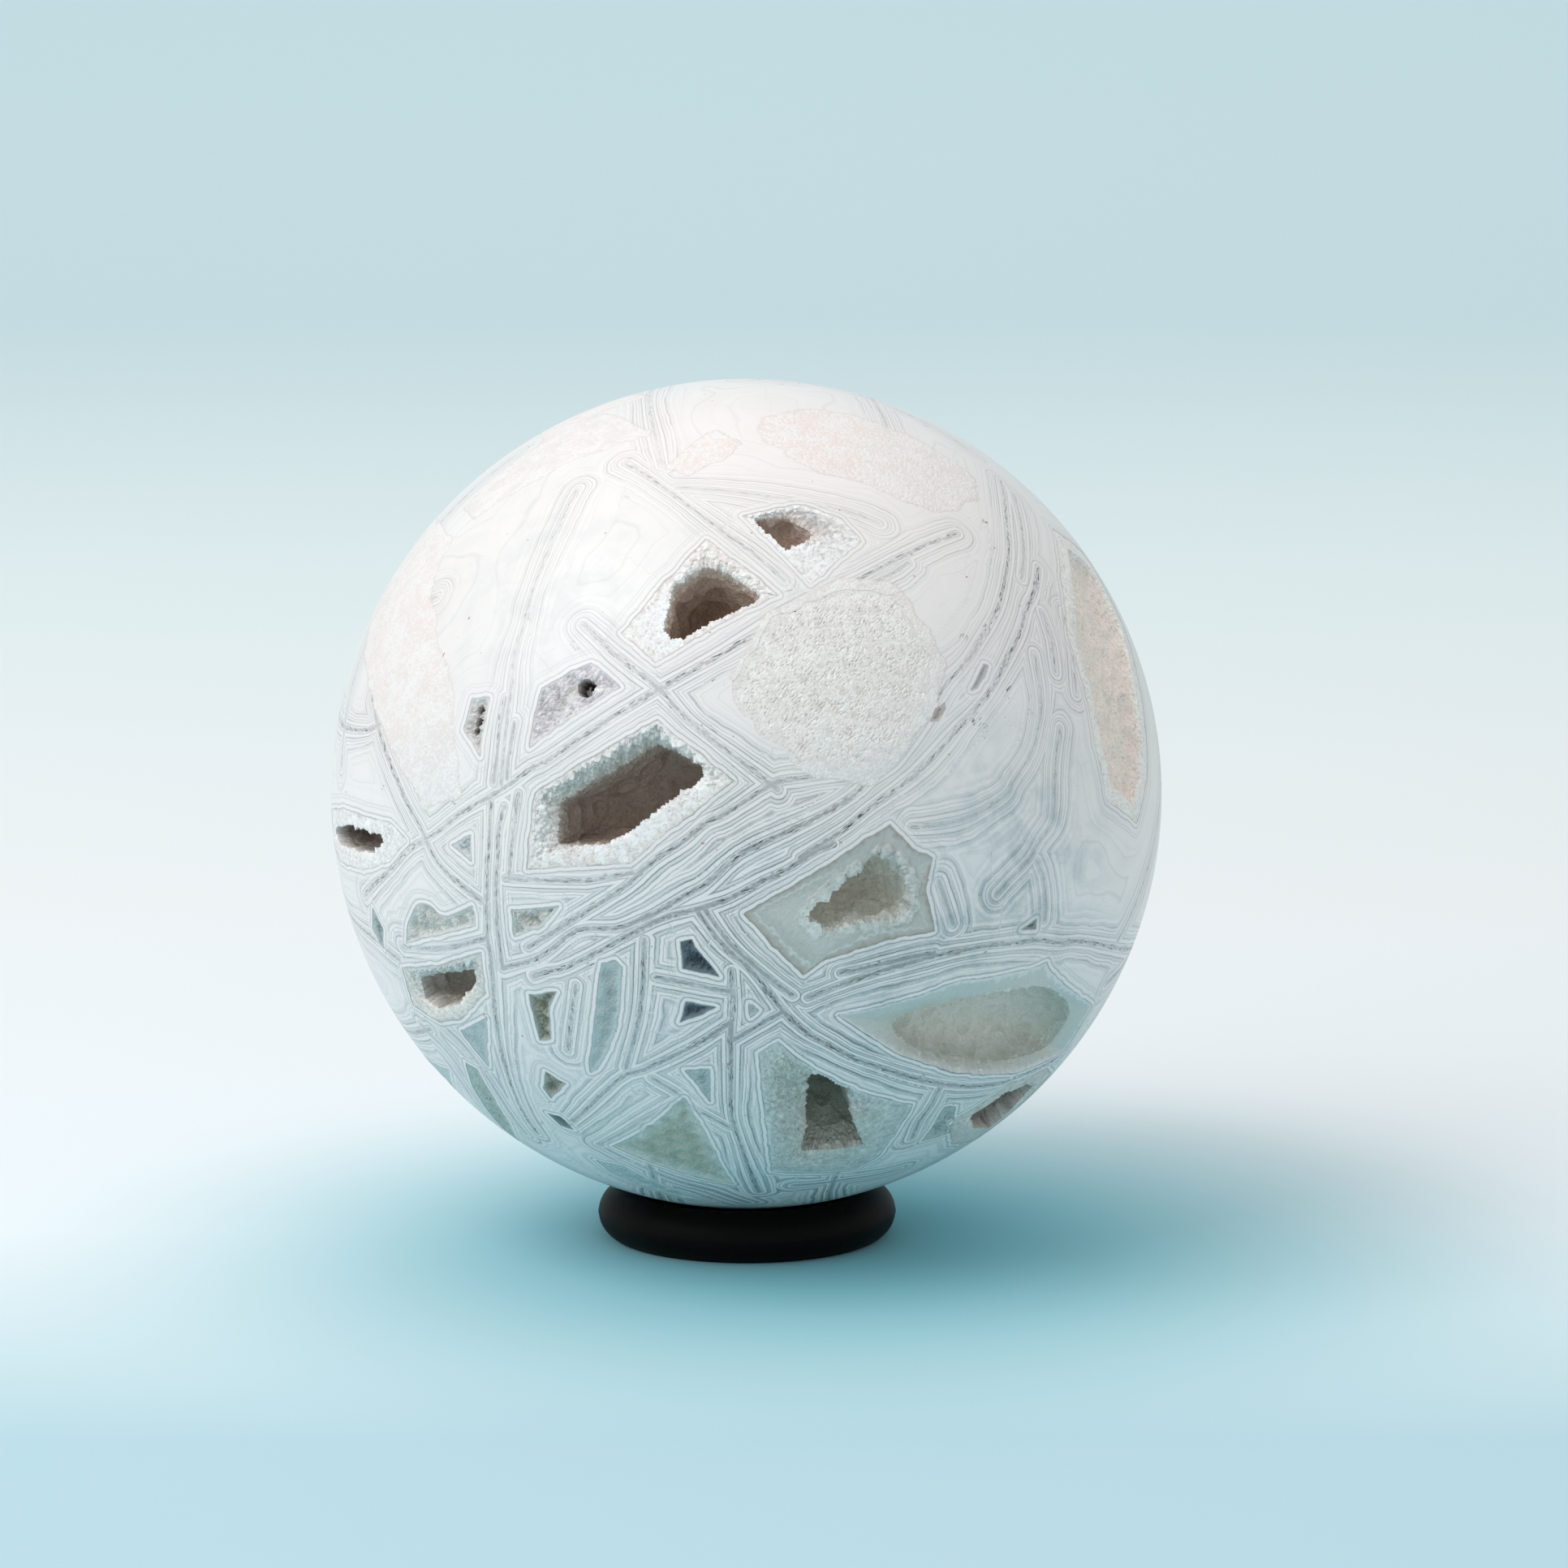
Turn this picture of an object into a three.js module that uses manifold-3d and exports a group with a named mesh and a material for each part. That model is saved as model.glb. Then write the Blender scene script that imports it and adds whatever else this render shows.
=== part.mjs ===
// A polished ball of bladed agate on a black rubber ring.
// The ball is one natural stone. Where its bands leave a cell open, the cell holds a crust of
// small quartz crystals around a hollow, and the polished surface cuts both off level.
// Units are mm, +Z is up, the origin is under the middle of the ring, and the viewer of the
// main face stands on the -Y side.
import * as THREE from "three";
import { mergeVertices } from "three/addons/utils/BufferGeometryUtils.js";
import Module from "manifold-3d";

// Driving dimensions
const BALL_RADIUS = 41;
const RING_OUTER_RADIUS = 15;
const RING_SECTION_RADIUS = 2.6;
const RING_FOOT_HEIGHT = 0.25; // how much of the round section the flat foot takes off
const REST_GAP = 0.3; // between pieces that touch

// Crust of a hollow
const CRUST_FLOOR = 1.2; // thickness under the deepest point
const CRUST_LEAST_WALL = 0.9; // between the crust's outside and the hollow
const RIM_DROP = 0.1; // the crust's polished rim lies just under the ball's surface
const POCKET_FLOOR_SHARE = 0.86; // a pocket's floor is this share of its mouth
const POCKET_STRAIGHT_SHARE = 0.6; // down to this share of its depth its wall is straight
const CRUST_TAPER = 0.99; // the crust's outside narrows to this share over the straight wall
const CUT_RISE = 2; // a cut reaches this far out of the ball

// The crust's lining from the rim to the middle: share of the hollow's width and of its depth
const LINING_ROWS = [
  [1, 0],
  [0.97, 0.36],
  [0.92, 0.7],
  [0.76, 0.92],
  [0.38, 1],
];

// Crystals of the lining
const CRYSTAL_HEIGHT = 0.9;
const CRYSTAL_SPREAD = [0.7, 1.2]; // least and greatest share of that height
const CRYSTAL_SPACING = 3; // every third point of a row is a crystal's tip
const CRYSTAL_LEAN = 0.8; // how much of its height a crystal on the wall stands out sideways
const CRYSTAL_RISE = 1.1; // and how much one would stand up that doesn't lean
const LINING_UNEVENNESS = 0.06;
const LEAST_HOLLOW = 0.2; // from the middle of the hollow to the nearest point of its lining
const MIDDLE_RISE = 0.6; // the crystal in the middle, as a share of the height

// Rows of a shallow bed from its middle to over its edge: share of the width, share of the
// depth, and share of the depth that it is uneven by
const BED_ROWS = [
  [0.33, 1, 0.7],
  [0.66, 1, 0.7],
  [0.95, 0.8, 0.3],
];

// Fineness
const BALL_DETAIL = 14;
const RING_STEPS = 36;
const RING_SECTION_SIDES = 12;
const POCKET_SIDES = 15;

// Where a viewer stands who looks straight at a side of the ball: degrees round from the front
// towards +X, and degrees up
const FRONT = [0, 9];
const LEFT = [-65, 0];
const RIGHT = [75, 0];
const LOW_RIGHT = [50, -35];
const BACK = [180, 5];
const LEFT_BACK = [-118, 0];
const RIGHT_BACK = [120, 10];

// Each pocket: the cell that the bands leave open and the hollow inside its crust, as corners
// in mm right and up of the ball's middle, seen from the side that it faces, and its depth.
const POCKETS = [
  {
    name: "druse_top",
    from: FRONT,
    cell: [[-0.4, 26.1], [5.1, 27.3], [9.0, 25.9], [10.8, 23.7], [6.0, 19.5]],
    hollow: [[0.9, 25.6], [5.0, 26.1], [7.9, 25.0], [9.1, 23.6], [6.0, 21.4], [3.4, 23.0]],
    depth: 3,
  },
  {
    name: "druse_upper",
    from: FRONT,
    cell: [[-3.8, 23.8], [3.0, 18.5], [-8.4, 12.2], [-11.6, 15.0]],
    hollow: [
      [-8.0, 15.6], [-6.7, 18.6], [-4.8, 19.6], [-3.2, 21.3], [-0.6, 20.0], [1.2, 18.3], [-1.9, 16.5],
      [-6.3, 14.2],
    ],
    depth: 6,
  },
  {
    name: "druse_middle",
    from: FRONT,
    cell: [[-8.3, 6.9], [-1.2, 1.2], [-10.8, -6.4], [-20.5, -7.0], [-19.8, 0.1]],
    hollow: [
      [-7.9, 5.2], [-5.2, 4.0], [-3.5, 1.9], [-6.4, -0.4], [-10.7, -3.7], [-13.0, -4.6], [-17.0, -4.6],
      [-17.2, -2.4], [-15.9, 0.0], [-11.8, 2.2],
    ],
    depth: 9,
  },
  {
    name: "druse_right",
    from: FRONT,
    cell: [
      [-0.3, -11.1], [6.5, -7.2], [11.0, -4.2], [13.3, -2.9], [15.5, -5.2], [17.2, -6.0], [16.6, -9.0],
      [17.6, -12.8], [13.0, -13.6], [7.2, -15.4], [5.2, -16.9],
    ],
    hollow: [
      [5.0, -11.3], [6.8, -9.4], [8.8, -8.0], [10.6, -7.1], [12.4, -5.4], [14.2, -6.4], [15.2, -8.4],
      [15.2, -11.3], [10.0, -12.2], [7.2, -13.0],
    ],
    depth: 6,
  },
  {
    name: "druse_lower_right",
    from: FRONT,
    cell: [
      [8.5, -20.7], [20.0, -17.6], [28.4, -16.2], [30.0, -18.0], [33.6, -20.6], [31.0, -25.0],
      [26.0, -26.9], [20.0, -26.6], [14.0, -24.4],
    ],
    hollow: [
      [14.6, -22.8], [16.0, -21.4], [20.0, -20.0], [25.0, -18.9], [29.0, -18.8], [31.8, -21.0],
      [29.4, -24.4], [25.0, -25.6], [20.0, -25.3], [16.0, -23.9],
    ],
    depth: 5.5,
  },
  {
    name: "druse_bottom",
    from: FRONT,
    cell: [
      [1.1, -24.3], [2.9, -23.2], [4.5, -24.7], [11.0, -28.3], [15.8, -29.6], [12.5, -35.0],
      [10.0, -36.4], [2.4, -36.3], [1.7, -31.0],
    ],
    hollow: [
      [5.5, -27.4], [8.0, -26.3], [9.8, -27.8], [10.4, -31.2], [11.5, -33.6], [8.0, -34.3], [4.9, -34.6],
      [5.6, -31.0],
    ],
    depth: 7,
  },
  {
    name: "druse_lower_left",
    from: FRONT,
    cell: [
      [-33.2, -16.7], [-29.0, -16.2], [-25.0, -14.9], [-24.8, -18.9], [-27.0, -21.3], [-29.5, -21.9],
      [-32.2, -20.4],
    ],
    hollow: [
      [-31.9, -17.5], [-29.0, -17.0], [-26.0, -16.5], [-25.6, -18.2], [-27.3, -20.3], [-29.4, -20.9],
      [-31.2, -19.9],
    ],
    depth: 4.5,
  },
  {
    name: "druse_left_slot",
    from: LEFT,
    cell: [
      [9.3, -0.5], [6.5, 0.9], [-5.0, 0.6], [-14.0, -0.9], [-15.5, -4.0], [-9.0, -5.2], [0.0, -4.7],
      [6.0, -3.0],
    ],
    hollow: [
      [5.4, -1.3], [4.4, -0.1], [-3.0, -0.3], [-12.0, -1.9], [-13.0, -3.3], [-9.0, -4.0], [2.5, -3.1],
    ],
    depth: 4,
  },
  {
    name: "druse_right_edge",
    from: RIGHT,
    cell: [
      [0.5, 27.2], [-7.0, 23.2], [-11.6, 18.4], [-13.4, 8.4], [-12.6, 2.8], [-6.0, -0.4], [-2.2, 3.6],
      [1.6, 12.0], [5.0, 17.4], [6.6, 24.2],
    ],
    hollow: [
      [0.4, 25.6], [-5.3, 22.3], [-9.9, 17.8], [-11.7, 8.4], [-11.2, 4.0], [-6.5, 1.4], [-4.0, 3.9],
      [-0.4, 12.1], [3.1, 17.4], [4.8, 23.2],
    ],
    depth: 3,
  },
  {
    name: "druse_low_right_edge",
    from: LOW_RIGHT,
    cell: [[-4.6, -6.6], [0.8, -1.9], [7.0, -1.8], [11.2, -4.4], [10.0, -9.4], [7.0, -13.4], [0.4, -11.4]],
    hollow: [[-2.2, -6.5], [1.5, -3.6], [6.0, -3.6], [9.2, -5.2], [8.0, -8.6], [6.2, -11.3], [1.2, -9.2]],
    depth: 4,
  },
  {
    name: "druse_back_high",
    from: BACK,
    cell: [[-14.5, 9.5], [-3.0, 17.0], [4.5, 8.2], [-6.0, -0.5], [-13.5, 3.0]],
    hollow: [[-12.4, 8.6], [-3.4, 14.2], [1.6, 8.0], [-6.2, 1.8], [-11.4, 4.4]],
    depth: 6,
  },
  {
    name: "druse_back_low",
    from: BACK,
    cell: [[-23.5, -14.0], [-9.0, -8.6], [-3.0, -14.0], [-12.0, -21.0], [-21.5, -20.0]],
    hollow: [[-20.6, -14.4], [-9.6, -10.8], [-6.2, -14.0], [-12.2, -18.4], [-19.4, -18.0]],
    depth: 5,
  },
  {
    name: "druse_back_side",
    from: LEFT_BACK,
    cell: [[-9.5, 9.8], [1.0, 16.2], [8.0, 9.4], [-2.4, 1.6]],
    hollow: [[-7.2, 9.6], [0.8, 13.8], [5.2, 9.4], [-2.2, 4.0]],
    depth: 5,
  },
  {
    name: "druse_far_side",
    from: RIGHT_BACK,
    cell: [[-6.0, -12.4], [-1.6, -4.4], [8.8, -2.8], [11.6, -11.6], [2.0, -17.2]],
    hollow: [[-3.6, -11.8], [-0.6, -6.4], [7.4, -5.2], [9.2, -10.8], [2.0, -14.8]],
    depth: 5,
  },
];

// Sugary patches without a hollow: a shallow rough bed in the stone itself
const PATCHES = [
  {
    from: FRONT,
    edge: [
      [9.2, 18.9], [13.7, 18.4], [15.8, 15.5], [17.0, 12.0], [15.8, 7.3], [13.6, 4.4], [9.8, 2.6],
      [4.1, 3.2], [-0.7, 7.9], [-1.5, 10.4], [2.6, 16.2],
    ],
    depth: 0.5,
  },
  {
    from: FRONT,
    edge: [
      [1.0, 36.0], [7.1, 37.1], [15.8, 34.4], [21.4, 30.5], [18.4, 26.6], [12.7, 28.8], [6.5, 31.0],
      [2.2, 33.4],
    ],
    depth: 0.5,
  },
  {
    from: FRONT,
    edge: [[-7.0, -29.2], [-4.2, -31.2], [-2.6, -35.2], [-1.4, -38.0], [-6.0, -37.6], [-12.4, -34.2]],
    depth: 0.6,
  },
  {
    from: FRONT,
    edge: [[-22.0, -10.9], [-17.6, -10.5], [-19.0, -12.4], [-21.9, -13.4]],
    depth: 0.8,
  },
  {
    from: FRONT,
    edge: [[-26.4, -10.4], [-25.6, -11.3], [-25.6, -12.5], [-28.6, -13.0], [-29.3, -12.1], [-27.5, -11.7]],
    depth: 0.8,
  },
  {
    from: BACK,
    edge: [[8.0, -3.6], [18.0, -1.4], [19.0, -9.6], [9.6, -13.4]],
    depth: 0.6,
  },
  {
    from: BACK,
    edge: [[9.0, 20.2], [16.6, 23.0], [18.2, 16.4], [11.4, 13.6]],
    depth: 0.7,
  },
];

const ringMiddle = RING_OUTER_RADIUS - RING_SECTION_RADIUS; // from the axis to the round section's middle

const wasm = await Module();
wasm.setup();

// A repeatable random number between 0 and 1
let seed = 7;
function random() {
  seed = (seed * 16807) % 2147483647;
  return seed / 2147483647;
}

function mix(a, b, t) {
  return a + (b - a) * t;
}

// A closed geometry as a solid for cutting
function solidOf(geometry) {
  const bare = new THREE.BufferGeometry();
  bare.setAttribute("position", geometry.getAttribute("position"));
  bare.setIndex(geometry.index);
  const merged = mergeVertices(bare, 1e-4);
  return new wasm.Manifold(
    new wasm.Mesh({
      numProp: 3,
      vertProperties: new Float32Array(merged.attributes.position.array),
      triVerts: new Uint32Array(merged.index.array),
    }),
  );
}

function geometryOf(solid) {
  const mesh = solid.getMesh();
  const geometry = new THREE.BufferGeometry();
  geometry.setAttribute("position", new THREE.BufferAttribute(new Float32Array(mesh.vertProperties), 3));
  geometry.setIndex(new THREE.BufferAttribute(new Uint32Array(mesh.triVerts), 1));
  return geometry;
}

// The viewer's right, up and outward directions for a side of the ball
function sideAxes([round, up]) {
  const a = THREE.MathUtils.degToRad(round);
  const e = THREE.MathUtils.degToRad(up);
  return {
    right: new THREE.Vector3(Math.cos(a), Math.sin(a), 0),
    up: new THREE.Vector3(-Math.sin(a) * Math.sin(e), Math.cos(a) * Math.sin(e), Math.cos(e)),
    out: new THREE.Vector3(Math.sin(a) * Math.cos(e), -Math.cos(a) * Math.cos(e), Math.sin(e)),
  };
}

// The point of the ball's surface seen u right and v up of its middle
function onBall(axes, [u, v]) {
  const w = Math.sqrt(BALL_RADIUS ** 2 - u * u - v * v);
  return new THREE.Vector3()
    .addScaledVector(axes.right, u)
    .addScaledVector(axes.up, v)
    .addScaledVector(axes.out, w);
}

// A flat frame that touches the ball in the middle of an outline
function touchingFrame(axes, corners) {
  const middle = new THREE.Vector3();
  for (const corner of corners) middle.add(onBall(axes, corner));
  const out = middle.normalize();
  const right = new THREE.Vector3().crossVectors(axes.up, out).normalize();
  const up = new THREE.Vector3().crossVectors(out, right);
  const flatten = (corner) => {
    const p = onBall(axes, corner);
    return [p.dot(right), p.dot(up)];
  };
  // A place s right and t up in the frame, at a depth under the ball's surface
  const place = (s, t, depth) => {
    const height = Math.sqrt(BALL_RADIUS ** 2 - s * s - t * t);
    return new THREE.Vector3()
      .addScaledVector(right, s)
      .addScaledVector(up, t)
      .addScaledVector(out, height)
      .setLength(BALL_RADIUS - depth);
  };
  return { flatten, place };
}

// How far an outline lies from the frame's middle in a direction
function reach(outline, angle) {
  const dx = Math.cos(angle);
  const dy = Math.sin(angle);
  let farthest = 0;
  outline.forEach(([x1, y1], i) => {
    const [x2, y2] = outline[(i + 1) % outline.length];
    const cross = dx * (y2 - y1) - dy * (x2 - x1);
    if (Math.abs(cross) < 1e-9) return;
    const along = (x1 * (y2 - y1) - y1 * (x2 - x1)) / cross;
    const share = (x1 * dy - y1 * dx) / cross;
    if (along > 0 && share >= 0 && share <= 1) farthest = Math.max(farthest, along);
  });
  return farthest;
}

// Directions round the middle: every corner of an outline, then the widest gaps halved
function directions(outline) {
  const turn = 2 * Math.PI;
  const angles = outline.map(([x, y]) => (Math.atan2(y, x) + turn) % turn).sort((a, b) => a - b);
  while (angles.length < POCKET_SIDES) {
    const ends = [...angles.slice(1), angles[0] + turn];
    const gaps = angles.map((angle, i) => ends[i] - angle);
    const widest = gaps.indexOf(Math.max(...gaps));
    angles.splice(widest + 1, 0, angles[widest] + gaps[widest] / 2);
  }
  return angles;
}

// A closed skin through rings of points, with a point at each end; the rings turn right-handed
// about the way from the first end to the last
function skin(first, rings, last) {
  const count = rings[0].length;
  const points = [first, ...rings.flat(), last];
  const faces = [];
  const at = (ring, i) => 1 + ring * count + (i % count);
  for (let i = 0; i < count; i++) {
    faces.push(0, at(0, i + 1), at(0, i));
    for (let r = 0; r + 1 < rings.length; r++) {
      faces.push(at(r, i), at(r, i + 1), at(r + 1, i + 1));
      faces.push(at(r, i), at(r + 1, i + 1), at(r + 1, i));
    }
    faces.push(at(rings.length - 1, i), at(rings.length - 1, i + 1), points.length - 1);
  }
  const geometry = new THREE.BufferGeometry().setFromPoints(points);
  geometry.setIndex(faces);
  return geometry;
}

// The pocket that a crust fills, reaching out of the ball to cut its mouth open
function pocketSolid(frame, angles, cellReach, depth) {
  const ring = (share, level) =>
    angles.map((angle, i) => {
      const r = cellReach[i] * share;
      return frame.place(r * Math.cos(angle), r * Math.sin(angle), level);
    });
  const floor = depth + CRUST_FLOOR + REST_GAP;
  const rings = [
    ring(POCKET_FLOOR_SHARE, floor),
    ring(1, depth * POCKET_STRAIGHT_SHARE),
    ring(1, -CUT_RISE),
  ];
  return solidOf(skin(frame.place(0, 0, floor), rings, frame.place(0, 0, -CUT_RISE)));
}

// The crust: a cup whose rim is cut off level with the ball, lined with pointed crystals.
// Each tip stands up among its neighbours, so that six flat faces meet in it.
function crustGeometry(frame, angles, cellReach, hollowReach, depth) {
  const outside = (share, level) =>
    angles.map((angle, i) => {
      const r = cellReach[i] * share - REST_GAP;
      return frame.place(r * Math.cos(angle), r * Math.sin(angle), level);
    });
  const lining = (share, level, row) =>
    angles.map((angle, i) => {
      const isTip = row > 0 && (i + row) % CRYSTAL_SPACING === 0;
      const stands = isTip ? CRYSTAL_HEIGHT * mix(...CRYSTAL_SPREAD, random()) : 0;
      const lean = Math.sqrt(share) * CRYSTAL_LEAN;
      const width = hollowReach[i] * share * (1 - LINING_UNEVENNESS * random());
      const r = Math.max(width - stands * lean, LEAST_HOLLOW);
      const sunk = Math.max(level - stands * (CRYSTAL_RISE - lean), RIM_DROP);
      return frame.place(r * Math.cos(angle), r * Math.sin(angle), sunk);
    });
  const floor = depth + CRUST_FLOOR;
  const outer = [
    outside(POCKET_FLOOR_SHARE, floor),
    outside(CRUST_TAPER, depth * POCKET_STRAIGHT_SHARE),
    outside(1, RIM_DROP),
  ];
  const inner = LINING_ROWS.map(([share, down], row) => lining(share, depth * down, row));
  const middle = frame.place(0, 0, depth - CRYSTAL_HEIGHT * MIDDLE_RISE);
  return skin(frame.place(0, 0, floor), [...outer, ...inner], middle);
}

// A shallow bed with a rough sugary floor, cut into the stone
function patchSolid({ from, edge, depth }) {
  const axes = sideAxes(from);
  const frame = touchingFrame(axes, edge);
  const outline = edge.map(frame.flatten);
  const angles = directions(outline);
  const ring = (share, level, unevenness) =>
    angles.map((angle) => {
      const r = reach(outline, angle) * share;
      return frame.place(r * Math.cos(angle), r * Math.sin(angle), level - unevenness * random());
    });
  const rows = BED_ROWS.map(([share, down, uneven]) => ring(share, depth * down, depth * uneven));
  const overEdge = ring(1, -CUT_RISE, 0);
  return solidOf(skin(frame.place(0, 0, depth), [...rows, overEdge], frame.place(0, 0, -CUT_RISE)));
}

function ringGeometry() {
  const height = RING_SECTION_RADIUS - RING_FOOT_HEIGHT;
  const footAngle = Math.acos(height / RING_SECTION_RADIUS);
  const profile = [];
  for (let i = 0; i <= RING_SECTION_SIDES; i++) {
    const angle = -Math.PI / 2 + mix(footAngle, 2 * Math.PI - footAngle, i / RING_SECTION_SIDES);
    const x = ringMiddle + RING_SECTION_RADIUS * Math.cos(angle);
    const y = height + RING_SECTION_RADIUS * Math.sin(angle);
    profile.push(new THREE.Vector2(x, y));
  }
  profile.push(profile[0].clone());
  const halfStep = Math.PI / RING_STEPS;
  return new THREE.LatheGeometry(profile, RING_STEPS, halfStep).rotateX(Math.PI / 2);
}

// Height of the ball's middle when it rests in the ring
const reachToRing = BALL_RADIUS + RING_SECTION_RADIUS + REST_GAP;
const ballHeight = RING_SECTION_RADIUS - RING_FOOT_HEIGHT + Math.sqrt(reachToRing ** 2 - ringMiddle ** 2);

const stoneFinish = new THREE.MeshStandardMaterial({ color: 0xd9dcda, roughness: 0.3 });
const druseFinish = new THREE.MeshStandardMaterial({ color: 0xb8b0a4, roughness: 0.35 });
const rubberFinish = new THREE.MeshStandardMaterial({ color: 0x17120f, roughness: 0.5 });

const group = new THREE.Group();
const stone = new THREE.Group();
stone.position.z = ballHeight;
group.add(stone);

// The ball and its crusts
let ball = solidOf(new THREE.OctahedronGeometry(BALL_RADIUS, BALL_DETAIL));
for (const patch of PATCHES) ball = ball.subtract(patchSolid(patch));
for (const { name, from, cell, hollow, depth } of POCKETS) {
  const axes = sideAxes(from);
  const frame = touchingFrame(axes, hollow);
  const cellOutline = cell.map(frame.flatten);
  const hollowOutline = hollow.map(frame.flatten);
  const angles = directions(cellOutline);
  const cellReach = angles.map((angle) => reach(cellOutline, angle));
  const hollowReach = angles.map((angle, i) =>
    Math.min(reach(hollowOutline, angle), cellReach[i] - REST_GAP - CRUST_LEAST_WALL),
  );
  ball = ball.subtract(pocketSolid(frame, angles, cellReach, depth));
  const crust = new THREE.Mesh(crustGeometry(frame, angles, cellReach, hollowReach, depth), druseFinish);
  crust.name = name;
  stone.add(crust);
}
const ballMesh = new THREE.Mesh(geometryOf(ball), stoneFinish);
ballMesh.name = "agate_sphere";
stone.add(ballMesh);

const ringStand = new THREE.Mesh(ringGeometry(), rubberFinish);
ringStand.name = "ring_stand";
group.add(ringStand);

export default group;
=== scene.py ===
import math

import bpy
import numpy as np
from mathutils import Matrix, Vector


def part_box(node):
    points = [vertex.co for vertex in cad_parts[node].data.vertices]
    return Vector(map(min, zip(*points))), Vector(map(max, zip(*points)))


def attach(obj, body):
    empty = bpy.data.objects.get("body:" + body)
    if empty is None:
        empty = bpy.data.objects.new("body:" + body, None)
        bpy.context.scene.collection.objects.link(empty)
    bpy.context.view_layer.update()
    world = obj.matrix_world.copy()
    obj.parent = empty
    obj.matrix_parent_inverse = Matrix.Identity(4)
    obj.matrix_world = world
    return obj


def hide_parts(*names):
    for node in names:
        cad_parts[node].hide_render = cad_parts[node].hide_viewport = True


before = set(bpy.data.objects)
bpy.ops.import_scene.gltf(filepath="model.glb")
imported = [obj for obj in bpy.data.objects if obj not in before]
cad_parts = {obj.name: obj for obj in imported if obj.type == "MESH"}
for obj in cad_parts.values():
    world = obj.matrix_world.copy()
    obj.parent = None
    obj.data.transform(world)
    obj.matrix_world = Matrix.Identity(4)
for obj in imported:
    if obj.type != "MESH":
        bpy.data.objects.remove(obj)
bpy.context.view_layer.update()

# The holder ring
# A moulded black rubber ring. It stands on its flattened foot, the ball rests in it, and a fine
# flash line runs round it inside and outside, where the two halves of the mould met.
MM = 0.001  # lengths are in mm until a mesh is made
RING_SECTION_RADIUS = 2.6
RING_STEPS = 180
RING_SECTION_STEPS = 64
FLASH_HEIGHT = 0.05
FLASH_HALF_WIDTH = 0.16
RUBBER_BLACK = (0.0035, 0.0027, 0.0024, 1)
RUBBER_DUST = (0.011, 0.009, 0.008, 1)
RUBBER_SHINE = 0.07
RUBBER_ROUGHNESS = (0.42, 0.6)
RUBBER_RELIEF = 0.00005  # in m, as a Bump node's Distance always is
RUBBER_RELIEF_STRENGTH = 0.25
MOTTLE_GRAIN = 3.0
DUST_GRAIN = 0.35
DUST_RANGE = (0.62, 0.8)  # the noise values between which the dust comes in
DUST_STRENGTH = 0.5
MATT_GRAIN = 0.25


def grid_faces(rows, columns, closed_rows):
    """Quads between the points of a grid whose columns close on themselves, and its rows if asked."""
    row_numbers = np.arange(rows if closed_rows else rows - 1)
    row, column = np.meshgrid(row_numbers, np.arange(columns), indexing="ij")
    below, beside = (row + 1) % rows, (column + 1) % columns
    row, below = row * columns, below * columns
    return np.stack((row + column, row + beside, below + beside, below + column), -1).reshape(-1, 4)


def make_piece(name, points, faces, smooth):
    """A mesh object from points in mm, which stays at the origin with its place in its mesh."""
    mesh = bpy.data.meshes.new(name)
    mesh.vertices.add(len(points))
    mesh.vertices.foreach_set("co", (points * MM).ravel())
    mesh.loops.add(faces.size)
    mesh.loops.foreach_set("vertex_index", faces.ravel())
    mesh.polygons.add(len(faces))
    mesh.polygons.foreach_set("loop_start", np.arange(len(faces)) * faces.shape[1])
    mesh.polygons.foreach_set("use_smooth", np.full(len(faces), smooth))
    mesh.update(calc_edges=True)
    piece = bpy.data.objects.new(name, mesh)
    bpy.context.scene.collection.objects.link(piece)
    return piece


def add(tree, kind, inputs=None, **settings):
    """A shader node. A socket given for an input is linked to it, and anything else is its value."""
    node = tree.nodes.new("ShaderNode" + kind)
    for name, value in settings.items():
        setattr(node, name, value)
    for name, value in (inputs or {}).items():
        if isinstance(value, bpy.types.NodeSocket):
            tree.links.new(value, node.inputs[name])
        else:
            node.inputs[name].default_value = value
    return node


def tree_of(*values):
    """The node tree of the first socket among some values."""
    return next(value.id_data for value in values if isinstance(value, bpy.types.NodeSocket))


def calc(operation, *values, clamp=False):
    """The result of a Math node."""
    inputs = dict(enumerate(values))
    return add(tree_of(*values), "Math", inputs, operation=operation, use_clamp=clamp).outputs[0]


def times(first, second, clamp=False):
    """The product of two values."""
    return calc("MULTIPLY", first, second, clamp=clamp)


def scaled(value, factor, plus):
    """A value times a factor, plus another value."""
    return calc("MULTIPLY_ADD", value, factor, plus)


def less(first, second):
    """The first value less the second."""
    return calc("SUBTRACT", first, second)


def mixed(share, first, second):
    """The first number turned into the second by a share from 0 to 1."""
    return add(tree_of(share, first, second), "Mix", {"Factor": share, 2: first, 3: second}).outputs[0]


def blend_colour(share, first, second):
    """The first colour turned into the second by a share from 0 to 1."""
    inputs = {"Factor": share, 6: first, 7: second}
    return add(tree_of(share, first, second), "Mix", inputs, data_type="RGBA").outputs[2]


def ease(value, start, end):
    """A smooth step from 0 at start to 1 at end."""
    inputs = {"Value": value, "From Min": start, "From Max": end}
    return add(tree_of(value), "MapRange", inputs, interpolation_type="SMOOTHSTEP").outputs[0]


def between(value, low, high):
    """A value from 0 to 1 laid out evenly from low to high."""
    return add(tree_of(value), "MapRange", {"Value": value, "To Min": low, "To Max": high}).outputs[0]


def noise(place, grain, detail=2.0, rough=0.5):
    """Even noise from 0 to 1 whose lumps are about a grain size in mm."""
    inputs = {"Vector": place, "Scale": 1 / grain, "Detail": detail, "Roughness": rough}
    return add(tree_of(place), "TexNoise", inputs).outputs[0]


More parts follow.
